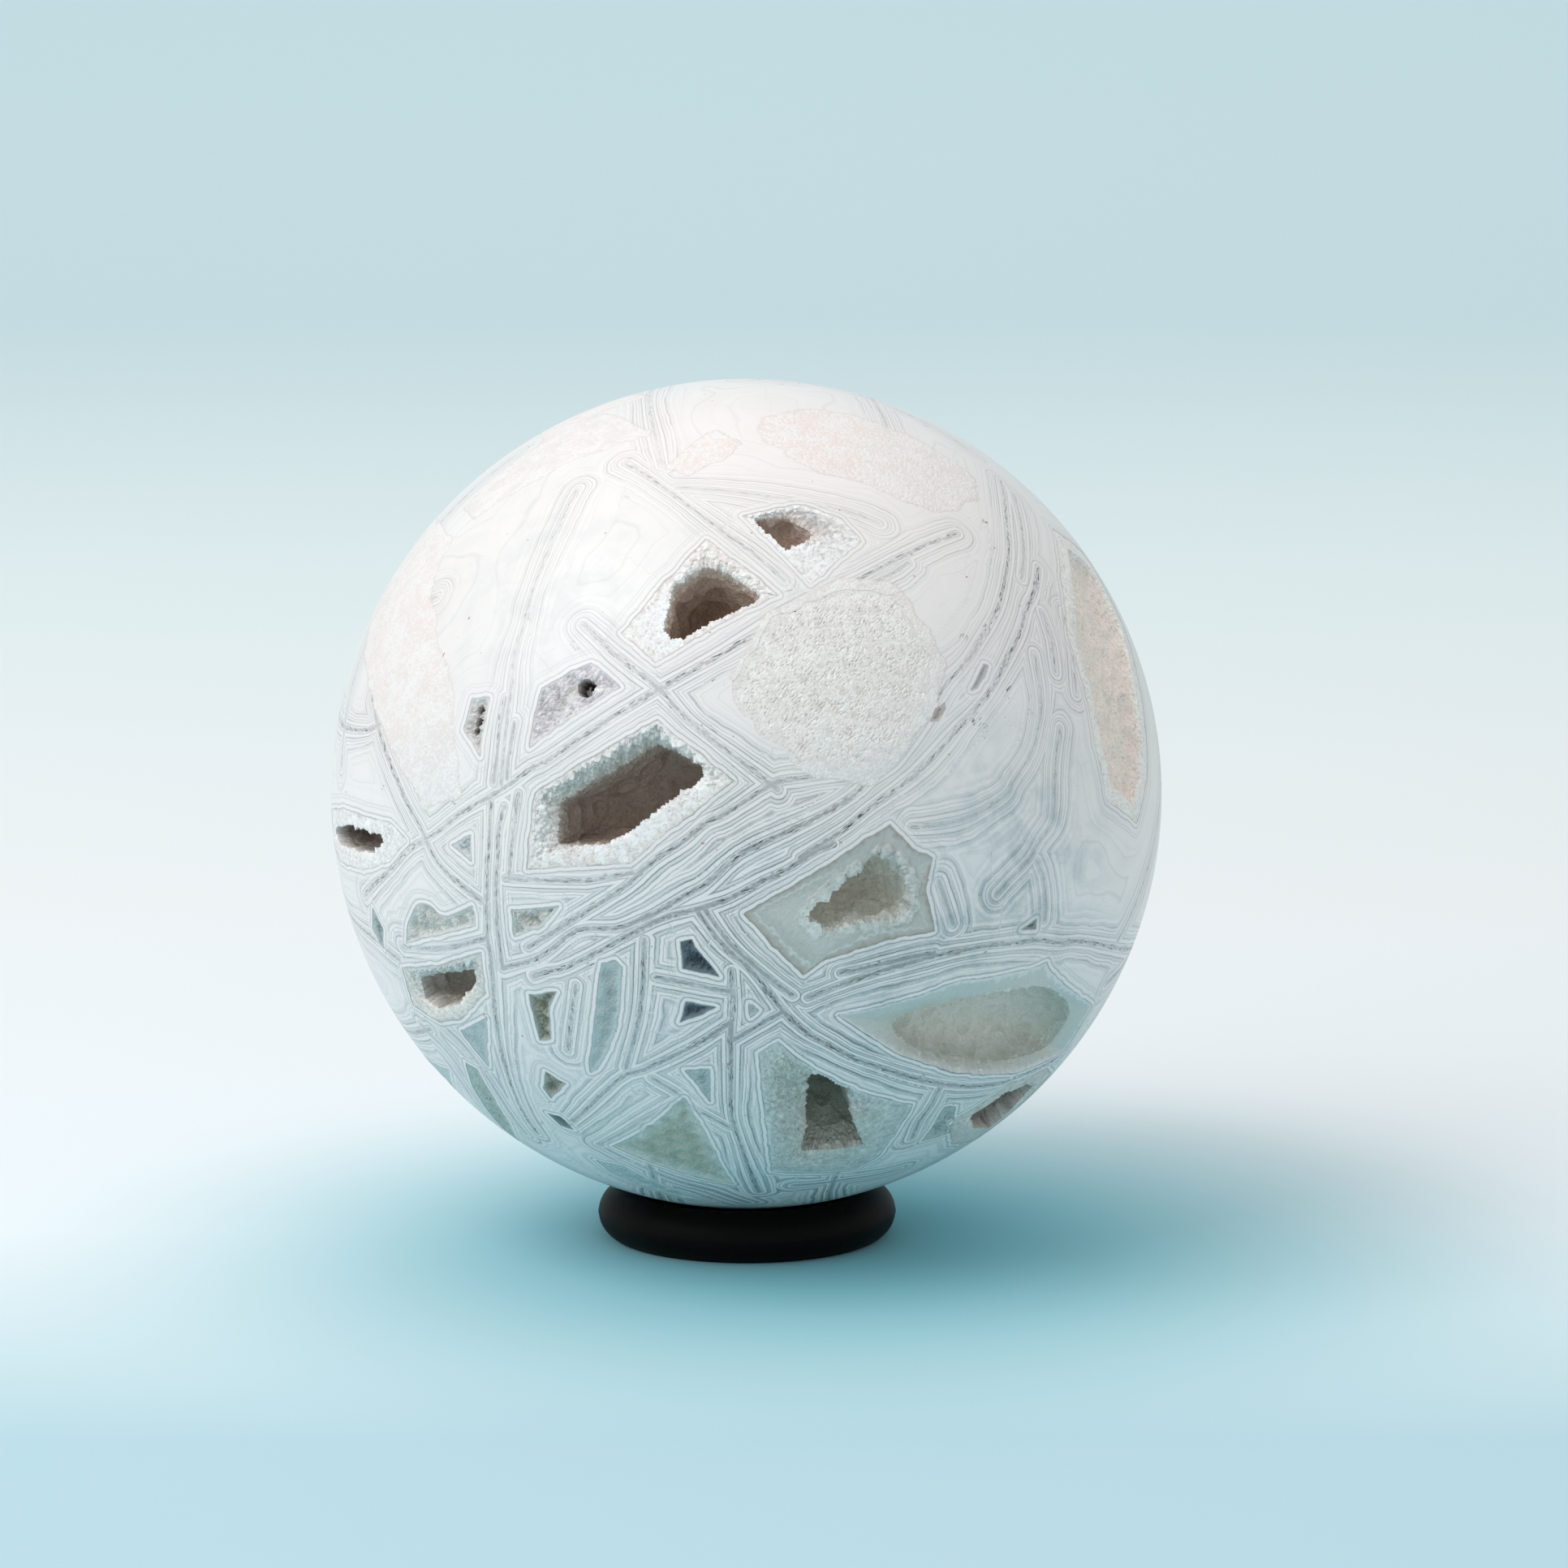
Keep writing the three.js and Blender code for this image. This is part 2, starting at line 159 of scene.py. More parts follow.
def bump(height, strength, distance):
    """Normals that make the surface look raised by a height."""
    inputs = {"Height": height, "Strength": strength, "Distance": distance}
    return add(tree_of(height), "Bump", inputs).outputs[0]


def new_material(name):
    """A material with only its output and Principled shader, and the object's coordinates in mm."""
    material = bpy.data.materials.new(name)
    material.use_nodes = True
    tree = material.node_tree
    coordinates = add(tree, "TexCoord").outputs["Object"]
    in_mm = add(tree, "Mapping", {"Vector": coordinates, "Scale": (1 / MM,) * 3}).outputs[0]
    return material, tree.nodes["Principled BSDF"], in_mm


def finish_shader(shader, colour, roughness, normal, shine):
    """Links what varies over the surface to a shader, and sets how much it shines."""
    links = shader.id_data.links
    links.new(colour, shader.inputs["Base Color"])
    links.new(roughness, shader.inputs["Roughness"])
    links.new(normal, shader.inputs["Normal"])
    shader.inputs["Specular IOR Level"].default_value = shine


def ring_section(ring_outer, ring_top):
    """The round section r, z of the ring: a circle, swollen by a low ridge at the mould line and cut
    off level at the foot."""
    angle = np.linspace(-np.pi, np.pi, RING_SECTION_STEPS, endpoint=False)
    from_line = np.minimum(np.abs(np.sin(angle)) * RING_SECTION_RADIUS / FLASH_HALF_WIDTH, 1)
    radius = RING_SECTION_RADIUS - FLASH_HEIGHT * from_line**2
    r = ring_outer - RING_SECTION_RADIUS + radius * np.cos(angle)
    z = np.maximum(ring_top - RING_SECTION_RADIUS + radius * np.sin(angle), 0)
    return r, z


ring_low, ring_high = (np.array(corner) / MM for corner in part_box("ring_stand"))
section_r, section_z = ring_section((ring_high[1] - ring_low[1]) / 2, ring_high[2])
around = np.linspace(0, 2 * np.pi, RING_STEPS, endpoint=False)[:, None]
ring_points = np.stack([section_r * np.cos(around), section_r * np.sin(around), section_z + 0 * around], -1)
ring_faces = grid_faces(RING_STEPS, RING_SECTION_STEPS, closed_rows=True)
ring = make_piece("rubber_ring", ring_points.reshape(-1, 3), ring_faces[:, ::-1], smooth=True)

rubber, shader, place = new_material("moulded_rubber")
dust = times(ease(noise(place, DUST_GRAIN, detail=3, rough=0.7), *DUST_RANGE), DUST_STRENGTH)
finish_shader(
    shader,
    blend_colour(dust, RUBBER_BLACK, RUBBER_DUST),
    between(noise(place, MOTTLE_GRAIN, detail=3), *RUBBER_ROUGHNESS),
    bump(noise(place, MATT_GRAIN, detail=3), RUBBER_RELIEF_STRENGTH, RUBBER_RELIEF),
    RUBBER_SHINE,
)
ring.data.materials.append(rubber)
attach(ring, "root")
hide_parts("ring_stand")

# The stone
# One natural lump of bladed agate, ground to a ball and polished. The bands grew in layers on
# both sides of thin mineral blades, so that every seam has the same bands beside it, and the
# cells that the bands left open are filled with quartz or hold a hollow.
stone_low, stone_high = (np.array(corner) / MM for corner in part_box("agate_sphere"))
BALL_RADIUS = (stone_high[2] - stone_low[2]) / 2
ball_middle = (stone_low + stone_high) / 2
FACE_STEPS = 118  # of each of the six patches that the ball's surface is made of

# Sides that an outline is seen from: degrees round from the front towards +X, and degrees up
FRONT = (0, 9)
LEFT = (-65, 0)
RIGHT = (75, 0)
LOW_RIGHT = (50, -35)
BACK = (180, 5)
LEFT_BACK = (-118, 0)
RIGHT_BACK = (120, 10)
TOP = (180, 80)
BOTTOM = (0, -80)
HIDDEN_SIDES = (BACK, LEFT_BACK, RIGHT_BACK, TOP)

# The open cells, each a closed outline in mm right and up of the ball's middle, seen from the front
# unless a side is given. Each has a hollow with an outline and a depth, lined with crystals of a
# height. The rim sinks towards the hollow by up to sink, most from the direction slope in degrees,
# and it is rough as far as lip out from the hollow. The hollow's outline has its corners softened
# over soften mm, and its wall runs into its floor with a roundness from 0 for a box to 1 for a bowl.
# The rim has zones of colour by how far in they lie, or one, and another colour where it slopes
# most, which is partly the crystals' own tint and partly painted shade on that side. The wall's and
# the floor's colours are partly the crystals' own tints and partly painted shade, which in most
# hollows darkens with depth. The crust's points lie a step apart.
POCKETS = [
    dict(name="druse_top", step=0.14, depth=3, crystal=0.4, sink=0.8, slope=60, roundness=0.55,
         cell=[(-0.4, 26.1), (5.1, 27.3), (9, 25.9), (10.8, 23.7), (6, 19.5)],
         hollow=[(0.5, 25.9), (1.9, 26.5), (3.8, 26.6), (5.7, 25.5), (6.6, 24.6), (5.1, 23.3), (3.5, 22.4),
                 (2, 23.3)],
         rim=(0.92, 0.9, 0.89), sloping=(0.7, 0.68, 0.67), wall=(0.72, 0.62, 0.56),
         floor=(0.44, 0.33, 0.26)),
    dict(name="druse_upper", step=0.14, depth=6, crystal=0.36, sink=0.5, slope=45, roundness=0.5,
         cell=[(-3.8, 23.8), (3, 18.5), (-8.4, 12.2), (-11.6, 15)],
         hollow=[(-7.2, 19.4), (-5.7, 20.7), (-4.1, 21.6), (-2.6, 21.6), (-0.2, 20.1), (2, 18.5),
                 (-0.4, 16.9), (-2.3, 15.8), (-4.5, 14.7), (-5.8, 14), (-7.2, 14.2), (-8.1, 15.2),
                 (-7.6, 17.2)],
         zones=[(0, (0.86, 0.80, 0.77)), (0.7, (0.91, 0.87, 0.84)), (1, (0.95, 0.91, 0.89))],
         rim=(0.92, 0.9, 0.89), sloping=(0.86, 0.8, 0.76), wall=(0.72, 0.59, 0.5),
         floor=(0.25, 0.17, 0.12)),
    dict(name="druse_middle", step=0.15, depth=9, crystal=0.44, sink=2, slope=118, roundness=0.5,
         cell=[(-8.3, 6.9), (-1.2, 1.2), (-10.8, -6.4), (-20.5, -7), (-19.8, 0.1)],
         hollow=[(-18.4, -0.7), (-8.5, 5.2), (-3.9, 2.9), (-3.7, 1.2), (-6.8, -0.8), (-10.7, -3.9),
                 (-13.4, -5.2), (-18.3, -5.2)],
         zones=[(0, (0.82, 0.78, 0.75)), (0.7, (0.84, 0.8, 0.77)), (1, (0.92, 0.88, 0.86))],
         sloping=(0.60, 0.63, 0.61), rim=(0.9, 0.88, 0.87), wall=(0.47, 0.4, 0.35),
         floor=(0.45, 0.36, 0.3)),
    dict(name="druse_right", step=0.16, depth=6, crystal=0.6, sink=0.4, slope=60,
         cell=[(-0.3, -11.1), (6.5, -7.2), (11, -4.2), (13.3, -2.9), (15.5, -5.2), (17.2, -6), (16.6, -9),
               (17.6, -12.8), (13, -13.6), (7.2, -15.4), (5.2, -16.9)],
         hollow=[(4.8, -11.5), (6.6, -9.6), (8.8, -8), (10.6, -6.9), (12.4, -5.2), (14.4, -6.2),
                 (15.6, -8.2), (15.7, -10.4), (14.6, -11.8), (12.4, -12.2), (9.8, -12.5), (7, -13.2)],
         roundness=0.75, lip=0.7,
         zones=[(0, (0.46, 0.42, 0.37)), (0.2, (0.5, 0.49, 0.44)), (0.65, (0.54, 0.55, 0.51)),
                (0.85, (0.68, 0.74, 0.73)), (1.1, (0.53, 0.55, 0.52)), (2.6, (0.62, 0.64, 0.61))],
         rim=(0.58, 0.59, 0.57), wall=(0.84, 0.85, 0.78), floor=(0.68, 0.62, 0.53)),
    dict(name="druse_lower_right", step=0.25, depth=5.5, crystal=0.22, sink=1.9, slope=250, roundness=0.85,
         cell=[(8.5, -20.7), (20, -17.6), (28.4, -16.2), (30, -18), (33.6, -20.6), (31, -25), (26, -26.9),
               (20, -26.6), (14, -24.4)],
         hollow=[(13.6, -22.4), (16, -20.8), (20, -19.8), (24.4, -18.7), (28.8, -18.3), (31.9, -20.8),
                 (30.3, -25), (25.8, -26.5), (20, -26.2), (15.2, -24.5)],
         lip=0.1, soften=3.5,
         zones=[(0, (0.82, 0.85, 0.85)), (0.45, (0.74, 0.79, 0.78)), (0.6, (0.63, 0.68, 0.66)),
                (2.4, (0.64, 0.68, 0.65)), (4.5, (0.58, 0.6, 0.55))],
         rim=(0.64, 0.67, 0.64), wall=(0.6, 0.61, 0.54), floor=(0.78, 0.74, 0.67)),
    dict(name="druse_bottom", step=0.18, depth=7, crystal=0.32, sink=1.3, slope=150, roundness=0.7,
         cell=[(1.1, -24.3), (2.9, -23.2), (4.5, -24.7), (11, -28.3), (15.8, -29.6), (12.5, -35),
               (10, -36.4), (2.4, -36.3), (1.7, -31)],
         hollow=[(5.5, -27.4), (8, -26.3), (9.8, -27.8), (10.4, -31.2), (11.5, -33.6), (8, -34.3),
                 (4.9, -34.6), (5.6, -31)],
         zones=[(0, (0.7, 0.74, 0.74)), (0.5, (0.52, 0.56, 0.56)), (2.2, (0.6, 0.63, 0.61)),
                (3.4, (0.56, 0.58, 0.54))],
         rim=(0.58, 0.61, 0.59), wall=(0.52, 0.5, 0.43), floor=(0.27, 0.26, 0.21)),
    dict(name="druse_lower_left", step=0.18, depth=4.5, crystal=0.3, sink=0.8, slope=90,
         cell=[(-33.2, -16.7), (-29, -16.2), (-25, -14.9), (-24.8, -18.9), (-27, -21.3), (-29.5, -21.9),
               (-32.2, -20.4)],
         hollow=[(-31.9, -17.5), (-29, -17), (-26, -16.5), (-25.6, -18.2), (-27.3, -20.3), (-29.4, -20.9),
                 (-31.2, -19.9)],
         zones=[(0, (0.58, 0.62, 0.6)), (0.4, (0.78, 0.73, 0.69))],
         rim=(0.76, 0.71, 0.67), sloping=(0.46, 0.54, 0.53), wall=(0.58, 0.54, 0.49),
         floor=(0.42, 0.36, 0.31)),
    dict(name="druse_left_slot", side=LEFT, depth=4, crystal=0.4, sink=0.4, slope=-90,
         cell=[(9.3, -0.5), (6.5, 0.9), (-5, 0.6), (-14, -0.9), (-15.5, -4), (-9, -5.2), (0, -4.7),
               (6, -3)],
         hollow=[(5.4, -1.3), (4.4, -0.1), (-3, -0.3), (-12, -1.9), (-13, -3.3), (-9, -4), (2.5, -3.1)],
         rim=(0.86, 0.83, 0.81), wall=(0.6, 0.54, 0.5), floor=(0.34, 0.28, 0.24)),
    dict(name="druse_right_edge", step=0.28, side=RIGHT, depth=2.2, crystal=0.16, sink=0.5, slope=180,
         roundness=0.8,
         cell=[(0.5, 27.2), (-7, 23.2), (-11.6, 18.4), (-13.4, 8.4), (-12.6, 2.8), (-6, -0.4), (-2.2, 3.6),
               (1.6, 12), (5, 17.4), (6.6, 24.2)],
         hollow=[(0.4, 25.6), (-5.3, 22.3), (-9.9, 17.8), (-11.7, 8.4), (-11.2, 4), (-6.5, 1.4), (-4, 3.9),
                 (-0.4, 12.1), (3.1, 17.4), (4.8, 23.2)],
         rim=(0.9, 0.84, 0.79), wall=(0.91, 0.81, 0.745), floor=(0.94, 0.84, 0.765)),
    dict(name="druse_low_right_edge", side=LOW_RIGHT, depth=4, crystal=0.45, sink=0.5, slope=90,
         cell=[(-4.6, -6.6), (0.8, -1.9), (7, -1.8), (11.2, -4.4), (10, -9.4), (7, -13.4), (0.4, -11.4)],
         hollow=[(-2.2, -6.5), (1.5, -3.6), (6, -3.6), (9.2, -5.2), (8, -8.6), (6.2, -11.3), (1.2, -9.2)],
         rim=(0.7, 0.66, 0.62), wall=(0.5, 0.46, 0.42), floor=(0.36, 0.3, 0.26)),
    dict(name="druse_back_high", side=BACK, depth=6, crystal=0.8, sink=0.9, slope=100,
         cell=[(-14.5, 9.5), (-3, 17), (4.5, 8.2), (-6, -0.5), (-13.5, 3)],
         hollow=[(-12.4, 8.6), (-3.4, 14.2), (1.6, 8), (-6.2, 1.8), (-11.4, 4.4)],
         rim=(0.82, 0.84, 0.84), wall=(0.45, 0.43, 0.4), floor=(0.16, 0.13, 0.11)),
    dict(name="druse_back_low", side=BACK, depth=5, crystal=0.55, sink=0.6, slope=-60,
         cell=[(-23.5, -14), (-9, -8.6), (-3, -14), (-12, -21), (-21.5, -20)],
         hollow=[(-20.6, -14.4), (-9.6, -10.8), (-6.2, -14), (-12.2, -18.4), (-19.4, -18)],
         rim=(0.64, 0.7, 0.68), wall=(0.5, 0.52, 0.46), floor=(0.26, 0.24, 0.19)),
    dict(name="druse_back_side", side=LEFT_BACK, depth=5, crystal=0.6, sink=0.5, slope=30,
         cell=[(-9.5, 9.8), (1, 16.2), (8, 9.4), (-2.4, 1.6)],
         hollow=[(-7.2, 9.6), (0.8, 13.8), (5.2, 9.4), (-2.2, 4)],
         rim=(0.86, 0.84, 0.82), wall=(0.5, 0.44, 0.4), floor=(0.16, 0.11, 0.08)),
    dict(name="druse_far_side", side=RIGHT_BACK, depth=5, crystal=0.55, sink=0.7, slope=200,
         cell=[(-6, -12.4), (-1.6, -4.4), (8.8, -2.8), (11.6, -11.6), (2, -17.2)],
         hollow=[(-3.6, -11.8), (-0.6, -6.4), (7.4, -5.2), (9.2, -10.8), (2, -14.8)],
         rim=(0.7, 0.76, 0.74), wall=(0.46, 0.46, 0.4), floor=(0.22, 0.19, 0.15)),
]

# The cells that quartz grains fill nearly to the brim, with the depth of the grains' floor, the
# height of the grains and the colours of the edge and of the middle. Grain is how grainy a bed
# looks, from 0 to 1, and 1 if it isn't given. A bed that blends has no bands of its own, fades is
# how far in its edge is soft, and ragged how far its outline wanders. A margin is a smooth strip
# this wide on the side that lies in a direction in degrees, with its own colour. Pits are round
# holes at a place, with a width and a depth.
# The dark inside the pits is painted shade.
BEDS = [
    dict(depth=0.12, crystal=0.19, grain=0.75, blends=True, fades=0.5, ragged=0.3,
         rim=(0.925, 0.885, 0.855), floor=(0.88, 0.83, 0.795), margin=0.6, margin_side=205,
         margin_colour=(0.88, 0.84, 0.81),
         cell=[(9.2, 18.9), (13.7, 18.4), (15.8, 15.5), (17.3, 12.2), (15.8, 7.1), (14.1, 4.3), (10.8, 2.3),
               (4.1, 3.2), (2.1, 4.6), (-0.7, 7.9), (-1.5, 10.4), (2.6, 16.3)]),
    dict(depth=0.4, crystal=0.22, grain=0.4, rim=(0.62, 0.7, 0.67), floor=(0.45, 0.5, 0.43),
         cell=[(-5.9, -28.7), (-4.6, -31), (-3.5, -33.2), (-1.3, -37.6), (-3.6, -37.2), (-7.2, -36.1),
               (-12.8, -33.8)]),
    dict(depth=0.2, crystal=0.15, grain=0.3, rim=(0.6, 0.7, 0.7), floor=(0.46, 0.56, 0.56),
         cell=[(-14.5, -35.4), (-12, -35.8), (-8, -38), (-3.4, -39.7), (-6.5, -39.3), (-10.5, -37.9),
               (-13.2, -36.6)]),
    dict(depth=0.25, crystal=0.15, grain=0.3, rim=(0.55, 0.65, 0.65), floor=(0.4, 0.47, 0.47),
         cell=[(-13.5, -15.9), (-12.3, -15.5), (-11.7, -16.2), (-11.8, -19.1), (-12.3, -22.2),
               (-13.2, -24.4), (-14.2, -26), (-14.8, -26.3), (-14.9, -25.4), (-14.5, -23.1), (-14.1, -19.9),
               (-13.8, -17)]),
    dict(depth=0.2, crystal=0.15, grain=0.3, rim=(0.52, 0.62, 0.63), floor=(0.44, 0.54, 0.55),
         cell=[(-27.3, -22.7), (-24.7, -21.2), (-24.7, -26.2)]),
    dict(depth=0.25, crystal=0.15, grain=0.4, rim=(0.5, 0.6, 0.57), floor=(0.4, 0.48, 0.43),
         cell=[(-27.1, -25.8), (-25.9, -26.5), (-24.4, -29.4), (-23, -32), (-22.3, -34.1), (-23.9, -32.7),
               (-25.6, -30.2), (-26.6, -28.2)]),
    dict(depth=0.2, crystal=0.15, grain=0.2, rim=(0.6, 0.7, 0.71), floor=(0.5, 0.6, 0.61),
         cell=[(-31.8, -25.6), (-29, -26.8), (-28.3, -29.6), (-30.3, -28)]),
    dict(depth=0.4, crystal=0.15, grain=0.5, rim=(0.26, 0.34, 0.35), floor=(0.14, 0.19, 0.2),
         cell=[(-19.1, -30.6), (-17.9, -30.8), (-16.6, -32.2), (-17.9, -31.8)]),
    dict(depth=0.5, crystal=0.25, rim=(0.45, 0.47, 0.42), floor=(0.22, 0.24, 0.2),
         cell=[(-19.1, -26.4), (-17.2, -27.5), (-18.7, -29), (-19.4, -28)]),
    dict(depth=0.3, crystal=0.15, grain=0.4, rim=(0.56, 0.56, 0.58), floor=(0.42, 0.43, 0.46),
         cell=[(21.1, 9.8), (21.6, 11), (22.3, 12.1), (22.6, 11.9), (22.3, 10.9), (21.6, 9.9)]),
    dict(depth=0.2, crystal=0.2, blends=True, rim=(0.6, 0.57, 0.54), floor=(0.42, 0.37, 0.33),
         cell=[(17.1, 6.7), (17.6, 7.9), (18.5, 8.6), (18.7, 8), (17.9, 6.8)]),
    dict(depth=0.5, crystal=0.35, rim=(0.7, 0.72, 0.7), floor=(0.5, 0.5, 0.46),
         cell=[(-22, -10.9), (-17.6, -10.5), (-19, -12.4), (-21.9, -13.4)]),
    dict(depth=0.6, crystal=0.3, grain=0.7, rim=(0.74, 0.75, 0.72), floor=(0.55, 0.57, 0.53),
         cell=[(-32.6, -14.3), (-32.3, -12.2), (-31.3, -10.4), (-30, -10.5), (-29.2, -11.4), (-28.4, -11.7),
               (-27.1, -11.2), (-25.8, -10.5), (-25.6, -12.4), (-28.6, -13.2), (-30.9, -13.7)]),
    dict(depth=0.4, crystal=0.36, rim=(0.79, 0.755, 0.77), floor=(0.69, 0.65, 0.65),
         pits=[(-15, 9.9, 1.6, 2)],
         cell=[(-14.4, 12.3), (-11.8, 9.9), (-20.3, 4.3), (-19.6, 8.2), (-19.1, 9.9)]),
    dict(depth=0.5, crystal=0.3, rim=(0.8, 0.78, 0.76), floor=(0.6, 0.57, 0.54),
         pits=[(-25.2, 8, 0.7, 0.9), (-25.3, 6.8, 0.8, 1), (-25.4, 5.9, 0.5, 0.7)],
         cell=[(-25.8, 9), (-24.1, 9), (-25, 3.6), (-26.6, 6.1)]),
    dict(depth=0.4, crystal=0.25, rim=(0.74, 0.76, 0.76), floor=(0.6, 0.62, 0.62),
         cell=[(-27.7, -4.8), (-25.9, -3.8), (-25.9, -6.3)]),
    dict(depth=0.7, crystal=0.3, rim=(0.16, 0.21, 0.24), floor=(0.07, 0.1, 0.12),
         cell=[(-6.1, -13.8), (-5.1, -13.5), (-4.8, -14.2), (-3.3, -16), (-2.7, -16.9), (-5.9, -16.2)]),
    dict(depth=0.6, crystal=0.3, rim=(0.2, 0.26, 0.3), floor=(0.08, 0.11, 0.14),
         cell=[(-5.7, -19.4), (-2.9, -19.9), (-6.2, -21.3)]),
    dict(depth=0.3, crystal=0.2, rim=(0.6, 0.66, 0.66), floor=(0.45, 0.52, 0.52),
         cell=[(0.2, -19.5), (1.2, -20.2), (0.3, -20.9)]),
    dict(depth=0.7, crystal=0.25, rim=(0.44, 0.47, 0.42), floor=(0.24, 0.24, 0.18),
         cell=[(-20.5, -18.9), (-17.8, -18.5), (-18.6, -20), (-18.5, -23.2), (-19.6, -23.3), (-20.3, -20)]),
    dict(depth=0.3, crystal=0.15, rim=(0.5, 0.58, 0.6), floor=(0.34, 0.42, 0.44),
         cell=[(-5.8, -26), (-3.5, -25.8), (-3.5, -29)]),
    dict(depth=0.4, crystal=0.2, rim=(0.5, 0.6, 0.6), floor=(0.36, 0.44, 0.44),
         cell=[(18.9, -30), (20, -30), (19.6, -32.7), (16.8, -33.5)]),
    dict(depth=0.4, crystal=0.2, rim=(0.5, 0.57, 0.56), floor=(0.34, 0.4, 0.4),
         cell=[(-36, -11), (-35, -13), (-35, -15), (-36.2, -13)]),
    dict(depth=0.5, crystal=0.25, rim=(0.4, 0.46, 0.46), floor=(0.2, 0.24, 0.25),
         cell=[(26, -12.8), (27.4, -11.8), (27.3, -12.8)]),
    dict(side=BACK, depth=0.5, crystal=0.34, rim=(0.84, 0.83, 0.8), floor=(0.72, 0.7, 0.66),
         cell=[(8, -3.6), (18, -1.4), (19, -9.6), (9.6, -13.4)]),
    dict(side=BACK, depth=0.5, crystal=0.34, rim=(0.88, 0.85, 0.82), floor=(0.78, 0.72, 0.67),
         cell=[(9, 20.2), (16.6, 23), (18.2, 16.4), (11.4, 13.6)]),
    dict(side=BACK, depth=0.5, crystal=0.25, rim=(0.3, 0.36, 0.38), floor=(0.12, 0.15, 0.17),
         cell=[(3.2, -17.6), (6.4, -16.2), (5.2, -20.4)]),
    dict(side=BACK, depth=0.4, crystal=0.25, rim=(0.6, 0.66, 0.66), floor=(0.4, 0.46, 0.46),
         cell=[(-22, 16.4), (-17.6, 19.8), (-17.2, 15.2)]),
    dict(side=BACK, depth=0.4, crystal=0.25, rim=(0.66, 0.68, 0.66), floor=(0.5, 0.5, 0.46),
         cell=[(-2, -26.6), (3.8, -25.4), (1.2, -31)]),
    dict(side=LEFT_BACK, depth=0.5, crystal=0.3, rim=(0.66, 0.7, 0.68), floor=(0.46, 0.5, 0.46),
         cell=[(-9, -10.6), (1, -6.2), (3.4, -12), (-5.6, -16.8)]),
    dict(side=LEFT_BACK, depth=0.4, crystal=0.25, rim=(0.8, 0.8, 0.8), floor=(0.62, 0.62, 0.62),
         cell=[(9.6, -1.6), (14.4, 1.8), (14.2, -4.6)]),
    dict(side=RIGHT_BACK, depth=0.45, crystal=0.3, rim=(0.86, 0.82, 0.78), floor=(0.74, 0.68, 0.62),
         cell=[(-3.6, 6.2), (6, 9.8), (12.4, 4.4), (3, 1.6)]),
    dict(side=TOP, depth=0.4, crystal=0.3, rim=(0.86, 0.85, 0.83), floor=(0.74, 0.71, 0.67),
         cell=[(-9, -4), (-2, 2.4), (4.6, -3), (-3.4, -8.2)]),
]

